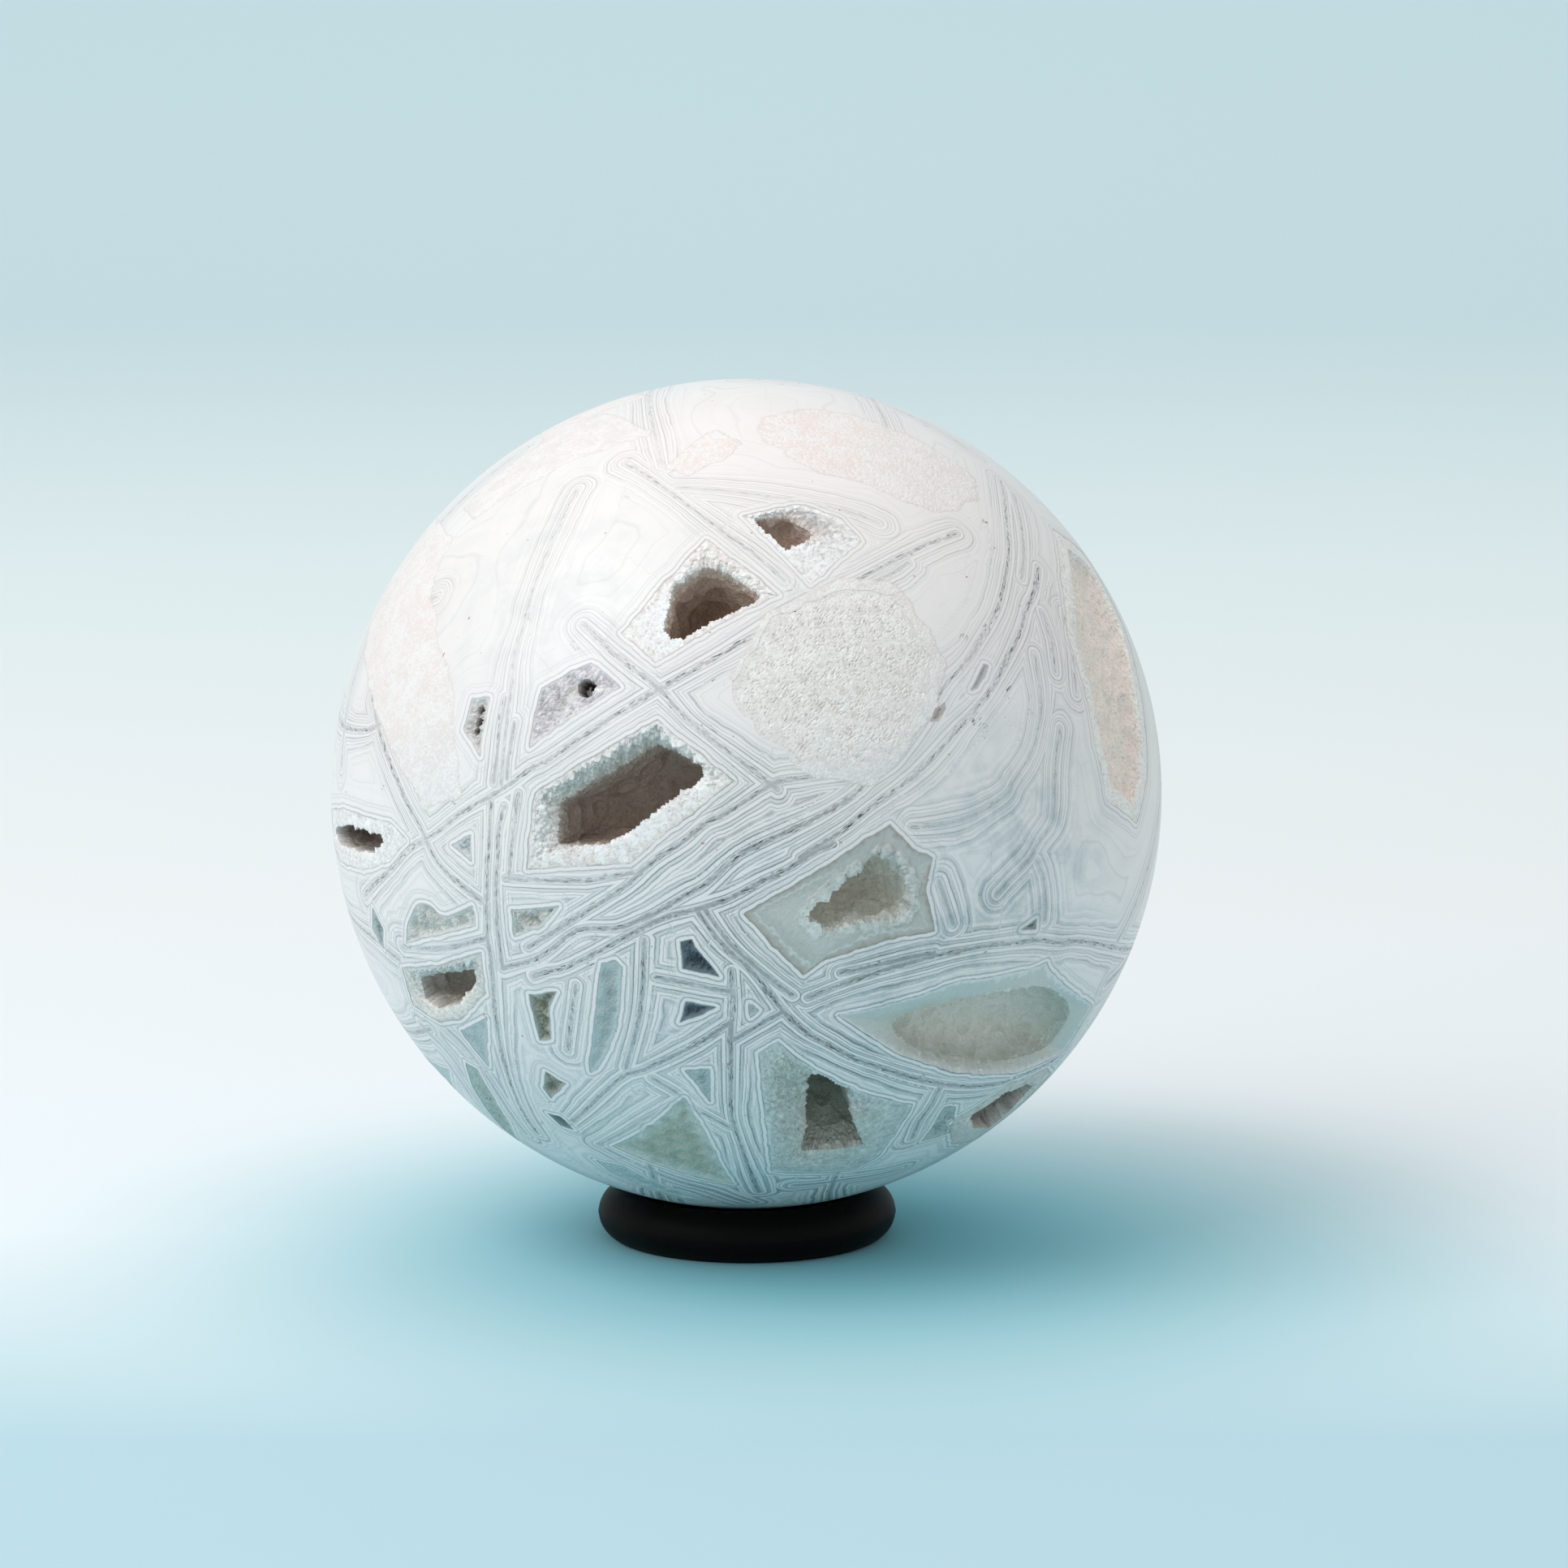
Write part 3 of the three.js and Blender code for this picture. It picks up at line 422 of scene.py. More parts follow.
# The seams that run over the ball, in mm right and up of its middle seen from a side, each with
# how dark its dashes are
SEAMS = [
    # Across the front from the left edge up to the top right
    (FRONT, 0.8, [(-36.9, -9.8), (-33.9, -7.1), (-31.9, -5.1), (-29.7, -3.9), (-27, -1.9), (-24.6, -0.5),
                  (-22.3, 0.8), (-20.1, 2.4), (-18.6, 3.1), (-14.6, 5.75), (-8.1, 9.7), (-3.6, 12.2),
                  (-0.7, 13.9), (8.7, 19.1), (13.3, 21.6), (17.1, 23.5), (20, 24.7)]),
    (FRONT, 0.4, [(11, 19.3), (14.2, 20.9), (15.2, 21.7)]),
    (FRONT, 0.6, [(-15.3, 15.8), (-11.7, 12.5), (-8.1, 9.7), (-5.7, 7.1), (-3.8, 5.5), (2.9, 0.4)]),
    (FRONT, 0.5, [(-11.5, 31.5), (-8, 29.1), (-5, 26.8), (-2.3, 24.7), (1.8, 21.5), (3.5, 19.9)]),
    (FRONT, 0.3, [(-6.5, 28.9), (0, 28.3), (5, 27.5), (9.7, 26.6), (12.5, 25.5)]),
    # The bundle down the left of the front
    (FRONT, 0.4, [(-16, 29), (-18, 24.8), (-20.3, 18.6), (-21, 15.7), (-21.8, 12.6), (-22.2, 8.4),
                  (-22.95, 0.9)]),
    (FRONT, 0.9, [(-22.6, 9), (-23.1, 6.4), (-23.4, 3.4), (-23.7, 1.1)]),
    (FRONT, 0.7, [(-21.7, 6.7), (-22.3, 3.1), (-22.4, 1.4)]),
    (FRONT, 0.9, [(-24, -0.9), (-24.1, -3.6), (-24.3, -7.4), (-24.4, -13.3), (-24.1, -16), (-23.9, -20.2),
                  (-23.4, -24.2), (-21.9, -29.8), (-20.3, -32.8)]),
    (FRONT, 0.8, [(-22.7, -1.2), (-23.2, -3.5), (-23.3, -5.8), (-23.5, -8.9), (-23, -16.4)]),
    (FRONT, 0.5, [(-21.3, 0), (-21.6, -2), (-22, -5), (-22.2, -7.8)]),
    # From the left edge down
    (FRONT, 0.9, [(-36, 9.4), (-35.3, 6.5), (-34.5, 4.2), (-33.5, 1.9), (-32.8, 0.3), (-31.8, -1.6),
                  (-30.7, -3.4), (-29.7, -5.7), (-28.6, -7.1), (-27, -8.5), (-25, -10)]),
    (FRONT, 0.5, [(-33, -14.6), (-28.5, -14.6), (-25.3, -13.8), (-24.4, -13.5)]),
    # The wide bundle that runs under the middle hollow to the upper right
    (FRONT, 0.7, [(9, 1.9), (4.8, 1.4), (2.4, 0.9), (-2, -1.9), (-3.8, -2.7), (-5.8, -4.4), (-8.6, -6.2),
                  (-10.9, -8.3), (-13.1, -9.8), (-17, -12.2), (-20.5, -14.4)]),
    (FRONT, 0.9, [(-23, -16.4), (-19.2, -15.2), (-15.8, -12.7), (-12.2, -12.5), (-10, -11.7), (-8.6, -11.1),
                  (-5.5, -9.3), (-3.7, -8.3), (-0.6, -5.6), (3.8, -3.5), (6.9, -2), (9.8, -0.2),
                  (11.6, 1.4), (13.4, 2.7), (14.4, 3.9), (17.5, 8.5), (18.8, 10.4), (20.4, 12.1),
                  (21.8, 14.2), (23.2, 16.5), (24, 18.3), (24.7, 21.2), (25, 23.2), (24.9, 27),
                  (24.7, 30.3)]),
    (FRONT, 1, [(-20, -17.1), (-18.5, -16.6), (-16.6, -16.1), (-8.6, -11.9), (-4.6, -10.7), (-1.6, -9.7),
                (1.4, -8.1), (3.7, -7), (6.3, -5.4), (8, -4.7)]),
    (FRONT, 1, [(4.9, -5.9), (7.4, -4.3), (9.5, -2.9), (11.2, -1.5), (13.3, 0), (15.1, 1.3), (16.9, 2.9),
                (18.5, 4.6), (19.7, 6), (21.2, 7.6), (22.7, 9.4), (23.8, 11.3), (25, 13.5), (26, 15.7),
                (26.6, 17.7), (27.4, 19.2), (27.9, 21.6)]),
    (FRONT, 0.5, [(-22.6, -7.9), (-15, -8.1), (-10.6, -7.3)]),
    # Arcs on the right
    (FRONT, 0.5, [(26.2, 20.5), (26.5, 23.1), (26.3, 27), (25.9, 29)]),
    (FRONT, 0.5, [(28.1, 17.2), (29, 14.4), (29.3, 11.6)]),
    (FRONT, 0.4, [(30.3, 17.2), (31.1, 13.4), (31.3, 9.6)]),
    (FRONT, 0.4, [(27.2, 13.1), (27.8, 8.6), (27.4, 6), (26.8, 3.9), (25, 1.1), (24.1, -0.3), (20.5, -2.3),
                  (16.9, -3), (15.3, -3.1)]),
    (FRONT, 0.5, [(29.6, 6.1), (29.1, 2.4), (28.9, -2.4), (27.7, -4.3), (26.6, -6.2), (24.8, -8),
                  (23.5, -9.4)]),
    (FRONT, 0.3, [(27.4, -6.4), (28, -8), (28.3, -10.4), (28.2, -12)]),
    (FRONT, 0.2, [(17.9, -8.2), (19.3, -12.2)]),
    # Across the lower right
    (FRONT, 0.8, [(5.7, -19), (8.2, -18), (10.5, -17.2), (13.1, -16.4), (16.4, -15.5), (19, -14.9),
                  (22, -14.4), (25, -14.1), (27.5, -13.9), (29.9, -14.2), (33, -14.3), (39.7, -15.7)]),
    (FRONT, 0.9, [(8.7, -16.7), (12, -16), (15.2, -15.3), (17.5, -14.9)]),
    (FRONT, 0.6, [(-3.9, -10.7), (-1.6, -13.8), (1.7, -16.8), (4.3, -18.8)]),
    (FRONT, 0.9, [(-4.5, -11), (-2.2, -14.1), (0.1, -16.1), (1.7, -18), (3.4, -20.3), (5.5, -22.3),
                  (7.6, -23.5), (9.6, -24.7), (12.5, -25.8), (14.4, -26.5), (16.4, -27.1), (18.5, -27.6),
                  (21.2, -28), (24.6, -27.8), (26.5, -27.2), (30.2, -25.7)]),
    (FRONT, 0.5, [(18.3, -28.1), (17.5, -29.8), (16.5, -31.3), (15.8, -33.1)]),
    # Down the middle of the lower half
    (FRONT, 0.7, [(-1.4, -16.5), (-1.3, -20), (-1.5, -22.3), (-1.5, -25), (-1.5, -29.5), (-1.3, -31.1),
                  (-0.5, -33.7), (1.2, -38.5)]),
    (FRONT, 0.7, [(-9.5, -13.6), (-9.7, -18), (-10.2, -21.5), (-11.4, -25.8)]),
    (FRONT, 0.8, [(-16, -17.9), (-16.4, -20.7), (-16.9, -24.2)]),
    (FRONT, 0.2, [(-31.5, -22.3), (-28.5, -25.4), (-26, -29.5), (-23, -33.6), (-19.4, -36.1)]),
    (FRONT, 0.3, [(-29.4, -21.9), (-26.6, -24.7), (-24.1, -28.7), (-21.4, -33)]),
    (FRONT, 0.6, [(-8.5, -17.1), (-5.8, -17.6), (-3.5, -18.1), (-1.5, -18.4)]),
    (FRONT, 0.8, [(-1.5, -21.3), (-4.3, -23.2), (-7.1, -24.7), (-9.8, -26), (-12.3, -27.1),
                  (-17.1, -31.7)]),
    (FRONT, 0.8, [(-1.2, -23), (1.1, -21.6), (3.4, -20.3)]),
    (FRONT, 0.4, [(-8.9, -26.8), (-6.6, -28.2), (-5, -29.7), (-2.7, -31), (-1.7, -31.7)]),
    (FRONT, 0.3, [(-6.6, -29), (-9.8, -31), (-12.6, -32.8), (-14.2, -33.7)]),
    (FRONT, 0.3, [(-13.4, -34.1), (-10, -35.9), (-6.6, -37.4), (-3.2, -38.4), (0.1, -39.8)]),
    (FRONT, 0.3, [(4.6, -37.8), (9.6, -37.3), (14.8, -36.5)]),
    # Long seams over the back, the sides, the top and the bottom
    (BACK, 0.9, [(-36, -6), (-24, -4.5), (-12, -3.6), (-4, -4.6), (5, -1.2), (12, 1.6), (24, 8.5),
                 (33, 15)]),
    (BACK, 0.7, [(6.5, 36), (5.2, 26), (5.8, 18), (6.6, 6), (5.4, -4), (2.4, -13), (-0.5, -24),
                 (-2.5, -36)]),
    (BACK, 0.6, [(-30, -24), (-20, -23.4), (-8, -23), (6, -21.8), (18, -18), (30, -12), (37, -6)]),
    (BACK, 0.6, [(-27, 25), (-16, 20.5), (-4, 20.6), (6.4, 24), (14, 26), (24, 27)]),
    (BACK, 0.8, [(21, -30), (21.5, -14), (21, 0), (20.5, 12), (18, 26), (12, 36)]),
    (BACK, 0.5, [(-27, 6), (-24, -2), (-26.5, -14), (-25, -26)]),
    (BACK, 0.5, [(26, -24), (27.5, -10), (27, 6), (24, 20)]),
    (LEFT, 0.8, [(-34, 14), (-24, 10.5), (-12, 8.2), (-2, 8.6), (3, 10)]),
    (LEFT, 0.6, [(-6, 34), (-8.5, 22), (-9, 12), (-7, 4.5)]),
    (LEFT, 0.7, [(-36, -8), (-26, -9.5), (-14, -10.5), (-2, -11.5), (4, -13)]),
    (LEFT, 0.5, [(-18, 26), (-18.5, 10), (-18, -4), (-16, -18), (-13, -30)]),
    (LEFT, 0.5, [(-30, -20), (-18, -20.5), (-6, -22), (4, -20)]),
    (LEFT, 0.4, [(-27, 20), (-16, 21), (-4, 19.5), (4, 22)]),
    (RIGHT, 0.7, [(9, 34), (10.5, 22), (9, 12), (5, 2), (-1, -6), (-6, -12)]),
    (RIGHT, 0.8, [(-4, -16.5), (6, -14.5), (16, -11), (26, -7), (34, -3)]),
    (RIGHT, 0.6, [(14, 30), (15.5, 18), (14, 6), (10, -4), (8, -14), (9, -28)]),
    (RIGHT, 0.5, [(2, -20), (12, -21), (22, -19), (31, -14)]),
    (RIGHT, 0.5, [(20, 26), (22, 14), (21, 2), (18, -8)]),
    (TOP, 0.5, [(-26, -8), (-12, -9.5), (0, -11), (12, -14), (22, -19)]),
    (TOP, 0.5, [(-14, 20), (-12.5, 8), (-12, -4), (-14, -18)]),
    (TOP, 0.6, [(-22, 10), (-8, 5.5), (4, 1.5), (16, -3), (28, -6)]),
    (TOP, 0.4, [(8, 26), (9.5, 12), (8.6, 0), (6, -12)]),
    (BOTTOM, 0.6, [(-24, 6), (-10, 3), (4, 2.4), (18, 5), (27, 9)]),
    (BOTTOM, 0.5, [(-10, 24), (-8.6, 10), (-8.5, -4), (-11, -18)]),
    (BOTTOM, 0.5, [(10, 24), (8, 10), (9, -6), (13, -20)]),
    (BOTTOM, 0.5, [(-24, -10), (-8, -9), (6, -11), (20, -15)]),
]

# Stretches of tightly grown quartz grains that are polished flush with the bands around them
GRAINY = [
    (FRONT, [(-30.5, 28.2), (-35.8, 19.9), (-37, 15.2), (-36.2, 9.8), (-32.4, 1.6), (-30.6, -1.6),
             (-27, -0.2), (-27.5, 9.2), (-29.4, 14.4), (-30.2, 19), (-28.6, 24.5)]),
    (FRONT, [(-14, 37), (-22, 32.6), (-27.4, 27.6), (-26, 26.6), (-19, 30.6), (-9, 34.4)]),
    (FRONT, [(-3, 34.6), (-7.6, 30.9), (-5.4, 30.4), (-2, 31.6), (-0.6, 33.4)]),
    (FRONT, [(1, 36.1), (7.1, 37.2), (15.8, 34.6), (21.6, 30.5), (22.3, 28.1), (18.4, 26.3), (12.7, 28.6),
             (6.5, 30.8), (2.2, 33.5)]),
    (FRONT, [(2, 17), (8.6, 19.8), (14.2, 19.4), (16.8, 15.8), (18.4, 12.2), (16.9, 6.8), (15.1, 3.3),
             (11, 1.1), (4, 2.2), (8, 10), (-1, 11)]),
    (BACK, [(24, 10), (31, 6), (32, -2), (26, -6), (22.6, 0)]),
    (BACK, [(-24, 4.4), (-18.6, 8), (-17, 1.6), (-21, -1.6)]),
    (LEFT, [(-32, 18.4), (-20.4, 19), (-20, 12), (-30, 13.6)]),
    (RIGHT, [(24.4, 18), (31.4, 12), (29, 4), (24, 8)]),
    (TOP, [(10, 10), (20, 12), (20, 2), (11.6, 0)]),
    (BOTTOM, [(-22, 1), (-11.6, -0.4), (-11.8, -6), (-21, -6.4)]),
]

# Soft patches of the stone's look, each at a place on a side with its reach in mm, and what it adds
# to how clear the lines are, how cloudy the white is, how warm it is and how grey it is
MOODS = [
    (FRONT, -19, 20, 14, -0.3, 0.45, 0, 0.02), (FRONT, -26, 14, 8, -0.25, 0, 0.1, 0),
    (FRONT, 4, 34, 13, -0.3, 0, 0.3, 0), (FRONT, -33, 14, 10, 0, 0, 0.5, 0),
    (FRONT, 19, 17, 6, -0.35, 0, 0.15, 0), (FRONT, 30, 16, 9, 0, 0, 0.15, 0.1),
    (FRONT, 21, 1, 8, -0.45, 0.4, 0, 0.1), (FRONT, 0, -5, 9, 0.25, 0, 0, 0.1),
    (FRONT, -5, -15, 13, 0.2, 0, 0, 0.1), (FRONT, 12, -22, 14, 0.25, 0, 0, 0.15),
    (FRONT, 28, -9, 8, -0.35, 0.5, 0, 0.16), (FRONT, 19, -11, 6, 0.1, 0, 0, 0.12),
    (FRONT, -26, -22, 12, -0.15, 0.1, 0, 0.15), (FRONT, -14, -24, 8, -0.3, 0, 0, 0.1),
    (BACK, -18, 10, 12, 0.15, 0, 0.1, 0), (BACK, 8, -26, 12, 0.3, 0, 0, 0.3),
    (BACK, 28, 14, 10, -0.2, 0.4, 0.2, 0), (LEFT, -26, 14, 10, -0.2, 0.2, 0.3, 0),
    (RIGHT, 26, 12, 9, -0.1, 0.3, 0.2, 0), (FRONT, 16, -17, 9, 0, 0.5, 0, 0.05),
    (FRONT, 28, -3, 8, 0, 0.5, 0, 0.06), (FRONT, 3, -4, 9, 0, 0.2, 0, 0.05),
    (FRONT, -9.6, -31, 8, 0, 0, 0, -0.12), (FRONT, -8, 9.5, 6, 0.2, 0, 0, 0.03),
]
# The same four over the whole ball, by height from -1 at its foot to 1 at its top: a value, and how
# much it changes over a height that starts at a place
CLEARNESS, CLEARNESS_FALL = 0.88, 0.12
CLOUDINESS = 0.12
WARMTH, WARM_FROM = 0.12, -0.3
# The grey rises towards the foot: partly greyer bands, partly the floor's teal bounce light painted on the
# lower half
GREYNESS, GREY_RISE, GREY_BELOW = 0.14, 0.5, 0.2
# and more at the very foot, which is painted shade
FOOT_SHADE_RISE, FOOT_SHADE_BELOW = 2.2, -0.8

BAND_REACH = 4.0  # mm from a seam at which its own bands end
# The bands on the way out from a seam in mm: how white their lines leave them, and how shaded they are
SEAM_BANDS = [
    (0.00, 0.60, 0.90), (0.20, 0.90, 0.70), (0.32, 1.00, 0.20), (0.40, 0.30, 0.30), (0.49, 1.00, 0.00),
    (0.72, 1.00, 0.05), (0.80, 0.12, 0.55), (0.89, 0.90, 0.65), (1.04, 0.95, 0.60), (1.12, 0.50, 0.30),
    (1.20, 1.00, 0.00), (1.36, 1.00, 0.00), (1.43, 0.25, 0.10), (1.51, 1.00, 0.00), (1.74, 1.00, 0.10),
    (1.83, 0.00, 0.80), (1.93, 0.85, 0.80), (2.10, 0.90, 0.75), (2.18, 0.55, 0.30), (2.26, 1.00, 0.00),
    (2.62, 1.00, 0.00), (2.71, 0.45, 0.30), (2.80, 0.95, 0.45), (3.00, 0.95, 0.40), (3.08, 0.75, 0.10),
    (3.16, 1.00, 0.00), (3.42, 1.00, 0.00), (3.50, 0.45, 0.50), (3.60, 0.95, 0.50), (3.80, 1.00, 0.20),
    (4.00, 1.00, 0.10),
]
EDGE_REACH = 1.8
# The same on the way out from the edge of a cell
EDGE_BANDS = [
    (0.00, 0.05, 0.30), (0.06, 0.20, 0.10), (0.13, 1.00, 0.00), (0.38, 1.00, 0.00), (0.47, 0.10, 0.50),
    (0.57, 0.90, 0.60), (0.70, 1.00, 0.20), (0.78, 1.00, 0.00), (1.02, 1.00, 0.00), (1.10, 0.60, 0.30),
    (1.18, 1.00, 0.55), (1.34, 1.00, 0.50), (1.43, 0.60, 0.30), (1.52, 1.00, 0.00), (1.80, 1.00, 0.00),
]
EDGE_BAND_END = (0.50, 1.10)  # the stretch over which a cell's own bands give way to the seams' bands
AGATE_WHITE = (0.905, 0.875, 0.865, 1)
AGATE_LINE = (0.34, 0.32, 0.325, 1)
# The grey bands and the deep lines are tinted teal, which paints the floor's bounce light on the lower half
AGATE_GREY = (0.385, 0.49, 0.52, 1)
AGATE_DEEP_LINE = (0.13, 0.18, 0.20, 1)
AGATE_WARM = (0.86, 0.78, 0.73, 1)
GRAIN_LIGHT = (0.9, 0.875, 0.86, 1)
GRAIN_DARK = (0.8, 0.78, 0.765, 1)
GRAIN_PINK = (0.87, 0.775, 0.735, 1)
GRAIN_BORDER = (0.7, 0.62, 0.56, 1)
SEAM_CORE = (0.34, 0.35, 0.355, 1)
SEAM_DASH = (0.05, 0.047, 0.045, 1)
RUST = (0.45, 0.16, 0.05, 1)

WAVE_DIRECTIONS = np.array([(1.0, 0.3, 0.5), (-0.4, 1.0, 0.2), (0.3, -0.5, 1.0), (0.8, 0.7, -0.6)])
WAVE_SHIFT = 1.7  # by which each of the sines is ahead of the last
OUTLINE_WAVE = 0.09  # how far the cells' edges wander to either side, over which length
OUTLINE_WAVE_LENGTH = 1.7
RAGGED_LENGTHS = (3.1, 1.2)
RAGGED_SHARE = 0.6  # of the shorter of them
CUTTER_STEP = 0.8
CUTTER_TAPER = 0.9
CUTTER_RISE = 1.5
POCKET_WALL = 1.2  # between the bottom of a crust and the bottom of its pocket
SHARP_ANGLE = 30  # in degrees, at which the stone's shading breaks at the pockets' edges
FAR = 30.0  # stands for no seam at all
SEAM_INFLUENCE = 9.0
SEAM_TO_CELL = 2.2
SEAM_OVERSHOOT = 4.5
SHORT_EDGE = 2.5
FRAME_DARKNESS = 0.6
SHEET_CLEARANCE = 5.5
CLEARANCE_PLACES = 9  # of each stretch of a seam, at which it is looked at
PULL_REACH = 0.8  # over how many mm a seam's darkness is felt
CLEAR_REACH = 0.7  # how much further the second seam is where the nearest one is clear of it
RUN_APART = 7.3  # between the noise of one seam and of the next
GRAINY_REACH = 4.0  # mm over which the inset of a grain patch goes from 0 to 1


def side_axes(side):
    """The directions right, up and out of the ball for someone who looks at a side of it."""
    turn, rise = np.radians(side)
    right = (math.cos(turn), math.sin(turn), 0)
    up = (-math.sin(turn) * math.sin(rise), math.cos(turn) * math.sin(rise), math.cos(rise))
    out = (math.sin(turn) * math.cos(rise), -math.cos(turn) * math.cos(rise), math.sin(rise))
    return np.array([right, up, out])


def on_ball(side, outline):
    """The places on the ball, from its middle, that are seen at these mm right and up of it: the
    square of a place's distance out is what the other two leave of the radius squared."""
    flat = np.array(outline, float)
    out = np.sqrt(np.maximum(BALL_RADIUS**2 - (flat**2).sum(1, keepdims=True), 0))
    return np.hstack([flat, out]) @ side_axes(side)


def touching_frame(side, outline):
    """Directions right, up and out of the ball at the middle of an outline's corners."""
    out = on_ball(side, outline).sum(0)
    out /= np.linalg.norm(out)
    right = np.cross(side_axes(side)[1], out)
    right /= np.linalg.norm(right)
    return np.array([right, np.cross(out, right), out])


def flattened(side, outline, axes):
    """An outline's corners in the touching frame, turning left all the way round."""
    corners = on_ball(side, outline) @ axes[:2].T
    after = np.roll(corners, -1, axis=0)
    turns_left = (corners[:, 0] * after[:, 1] - corners[:, 1] * after[:, 0]).sum() > 0
    return corners if turns_left else corners[::-1]


def placed(axes, flat, depth):
    """Points at a depth under the ball's surface, over places in the frame that touches the ball."""
    height = np.sqrt(BALL_RADIUS**2 - (flat**2).sum(-1, keepdims=True))
    onto = np.concatenate([flat, height], -1) @ axes / BALL_RADIUS
    return onto * (BALL_RADIUS - np.asarray(depth, float)[..., None])


def waves(points, length):
    """Soft unevenness between about -1 and 1: the mean of sines along four directions, doubled."""
    turns = points @ (WAVE_DIRECTIONS.T * 2 * math.pi / length)
    return 2 * np.sin(turns + np.arange(len(WAVE_DIRECTIONS)) * WAVE_SHIFT).mean(-1)


def outline_points(corners, step):
    """Points at about equal steps along a closed outline, with all its corners among them."""
    points = []
    for start, end in zip(corners, np.roll(corners, -1, axis=0)):
        count = max(1, round(float(np.linalg.norm(end - start)) / step))
        share = np.arange(count)[:, None] / count
        points.append(start + (end - start) * share)
    return np.vstack(points)


def cell_outline(cell, step):
    """A cell's edge in its touching frame, which wanders a little in and out as grown edges do."""
    edge = outline_points(flattened(cell["side"], cell["cell"], cell["axes"]), step)
    on_surface = placed(cell["axes"], edge, np.zeros(len(edge)))
    long_wave, short_wave = (waves(on_surface, length) for length in RAGGED_LENGTHS)
    wander = OUTLINE_WAVE * waves(on_surface, OUTLINE_WAVE_LENGTH)
    wander += cell.get("ragged", 0) * (long_wave + RAGGED_SHARE * short_wave)
    return edge * (1 + wander / np.linalg.norm(edge, axis=1))[:, None]


def skin_faces(rows, columns):
    """Triangles of a closed skin: a pole, rows of points, and another pole."""
    quads = grid_faces(rows, columns, closed_rows=False) + 1
    start = 1 + np.arange(columns)
    after = 1 + (np.arange(columns) + 1) % columns
    last = (rows - 1) * columns
    pole = np.full(columns, rows * columns + 1)
    top = np.stack([np.zeros(columns, int), after, start], -1)
    bottom = np.stack([start + last, after + last, pole], -1)
    return np.vstack([top, quads[:, [0, 1, 2]], quads[:, [0, 2, 3]], bottom])


def cell_cutter(cell):
    """The space that a crust fills: the cell's outline from over the ball's surface down to a floor."""
    edge = cell_outline(cell, CUTTER_STEP)
    floor = cell["depth"] + cell["crystal"] + POCKET_WALL
    levels = ((CUTTER_TAPER, floor), (1, floor / 2), (1, -CUTTER_RISE))
    rows = [placed(cell["axes"], edge * share, np.full(len(edge), level)) for share, level in levels]
    poles = placed(cell["axes"], np.zeros((2, 2)), np.array([floor, -CUTTER_RISE]))
    return np.vstack([poles[:1], *rows, poles[1:]]), skin_faces(len(rows), len(edge))


def grid_squares(shape):
    """The quads of a grid that is open on all sides, as an array of rows and columns of them."""
    index = np.arange(shape[0] * shape[1]).reshape(shape)
    return np.stack([index[:-1, :-1], index[1:, :-1], index[1:, 1:], index[:-1, 1:]], -1)


def ball_surface(steps):
    """The ball as six square patches blown up to a sphere: each point of a cube, its two free
    coordinates bent by a tangent to even the steps out, is moved out to the radius."""
    bent = np.tan(np.linspace(-math.pi / 4, math.pi / 4, steps + 1))
    a, b = (grid.ravel() for grid in np.meshgrid(bent, bent, indexing="ij"))
    quads = grid_squares((steps + 1, steps + 1)).reshape(-1, 4)
    points, faces = [], []
    for axis in range(3):
        for sign in (1, -1):
            patch = np.empty((len(a), 3))
            patch[:, axis] = sign
            patch[:, (axis + 1) % 3] = a * sign
            patch[:, (axis + 2) % 3] = b
            faces.append(quads + len(points) * len(a))
            points.append(patch)
    points = np.vstack(points)
    points *= BALL_RADIUS / np.linalg.norm(points, axis=1, keepdims=True)
    first, same = np.unique(np.round(points, 5), axis=0, return_index=True, return_inverse=True)[1:]
    return points[first], same.ravel()[np.vstack(faces)]


def joined(parts):
    """Meshes given as points and faces, as one."""
    points, faces, made = [], [], 0
    for part_points, part_faces in parts:
        points.append(part_points)
        faces.append(part_faces + made)
        made += len(part_points)
    return np.vstack(points), np.vstack(faces)


def cut_stone():
    """The ball with every cell cut out of it, as a piece with smooth shading up to the cells' edges."""
    cutter_points, cutter_faces = joined(map(cell_cutter, POCKETS + BEDS))
    cutter = make_piece("cutter", cutter_points + ball_middle, cutter_faces, smooth=False)
    ball_points, ball_faces = ball_surface(FACE_STEPS)
    whole = make_piece("whole", ball_points + ball_middle, ball_faces, smooth=True)
    cut = whole.modifiers.new("cells", "BOOLEAN")
    cut.operation = "DIFFERENCE"
    cut.solver = "MANIFOLD"
    cut.object = cutter
    mesh = bpy.data.meshes.new_from_object(whole.evaluated_get(bpy.context.evaluated_depsgraph_get()))
    bpy.data.objects.remove(whole)
    bpy.data.objects.remove(cutter)
    mesh.name = "agate_ball"
    mesh.polygons.foreach_set("use_smooth", np.full(len(mesh.polygons), True))
    mesh.set_sharp_from_angle(angle=math.radians(SHARP_ANGLE))
    mesh.materials.clear()
    piece = bpy.data.objects.new("agate_ball", mesh)
    bpy.context.scene.collection.objects.link(piece)
    return piece


def inset_in(points, corners):
    """How far points of a plane lie inside a closed outline: the distance to its nearest edge, less
    than nothing outside it. A point is inside if a line to its right meets the outline an odd number
    of times."""
    after = np.roll(corners, -1, axis=0)
    edges = after - corners
    away = points[:, None] - corners
    share = np.clip((away * edges).sum(-1) / np.maximum((edges**2).sum(-1), 1e-9), 0, 1)
    gap = np.linalg.norm(away - share[..., None] * edges, axis=-1).min(1)
    x, y = points[:, :1], points[:, 1:]
    crosses = (corners[:, 1] > y) != (after[:, 1] > y)
    rise = np.where(edges[:, 1] == 0, 1e-9, edges[:, 1])
    inside = (crosses & (x < corners[:, 0] + (y - corners[:, 1]) / rise * edges[:, 0])).sum(1) % 2 == 1
    return np.where(inside, gap, -gap)


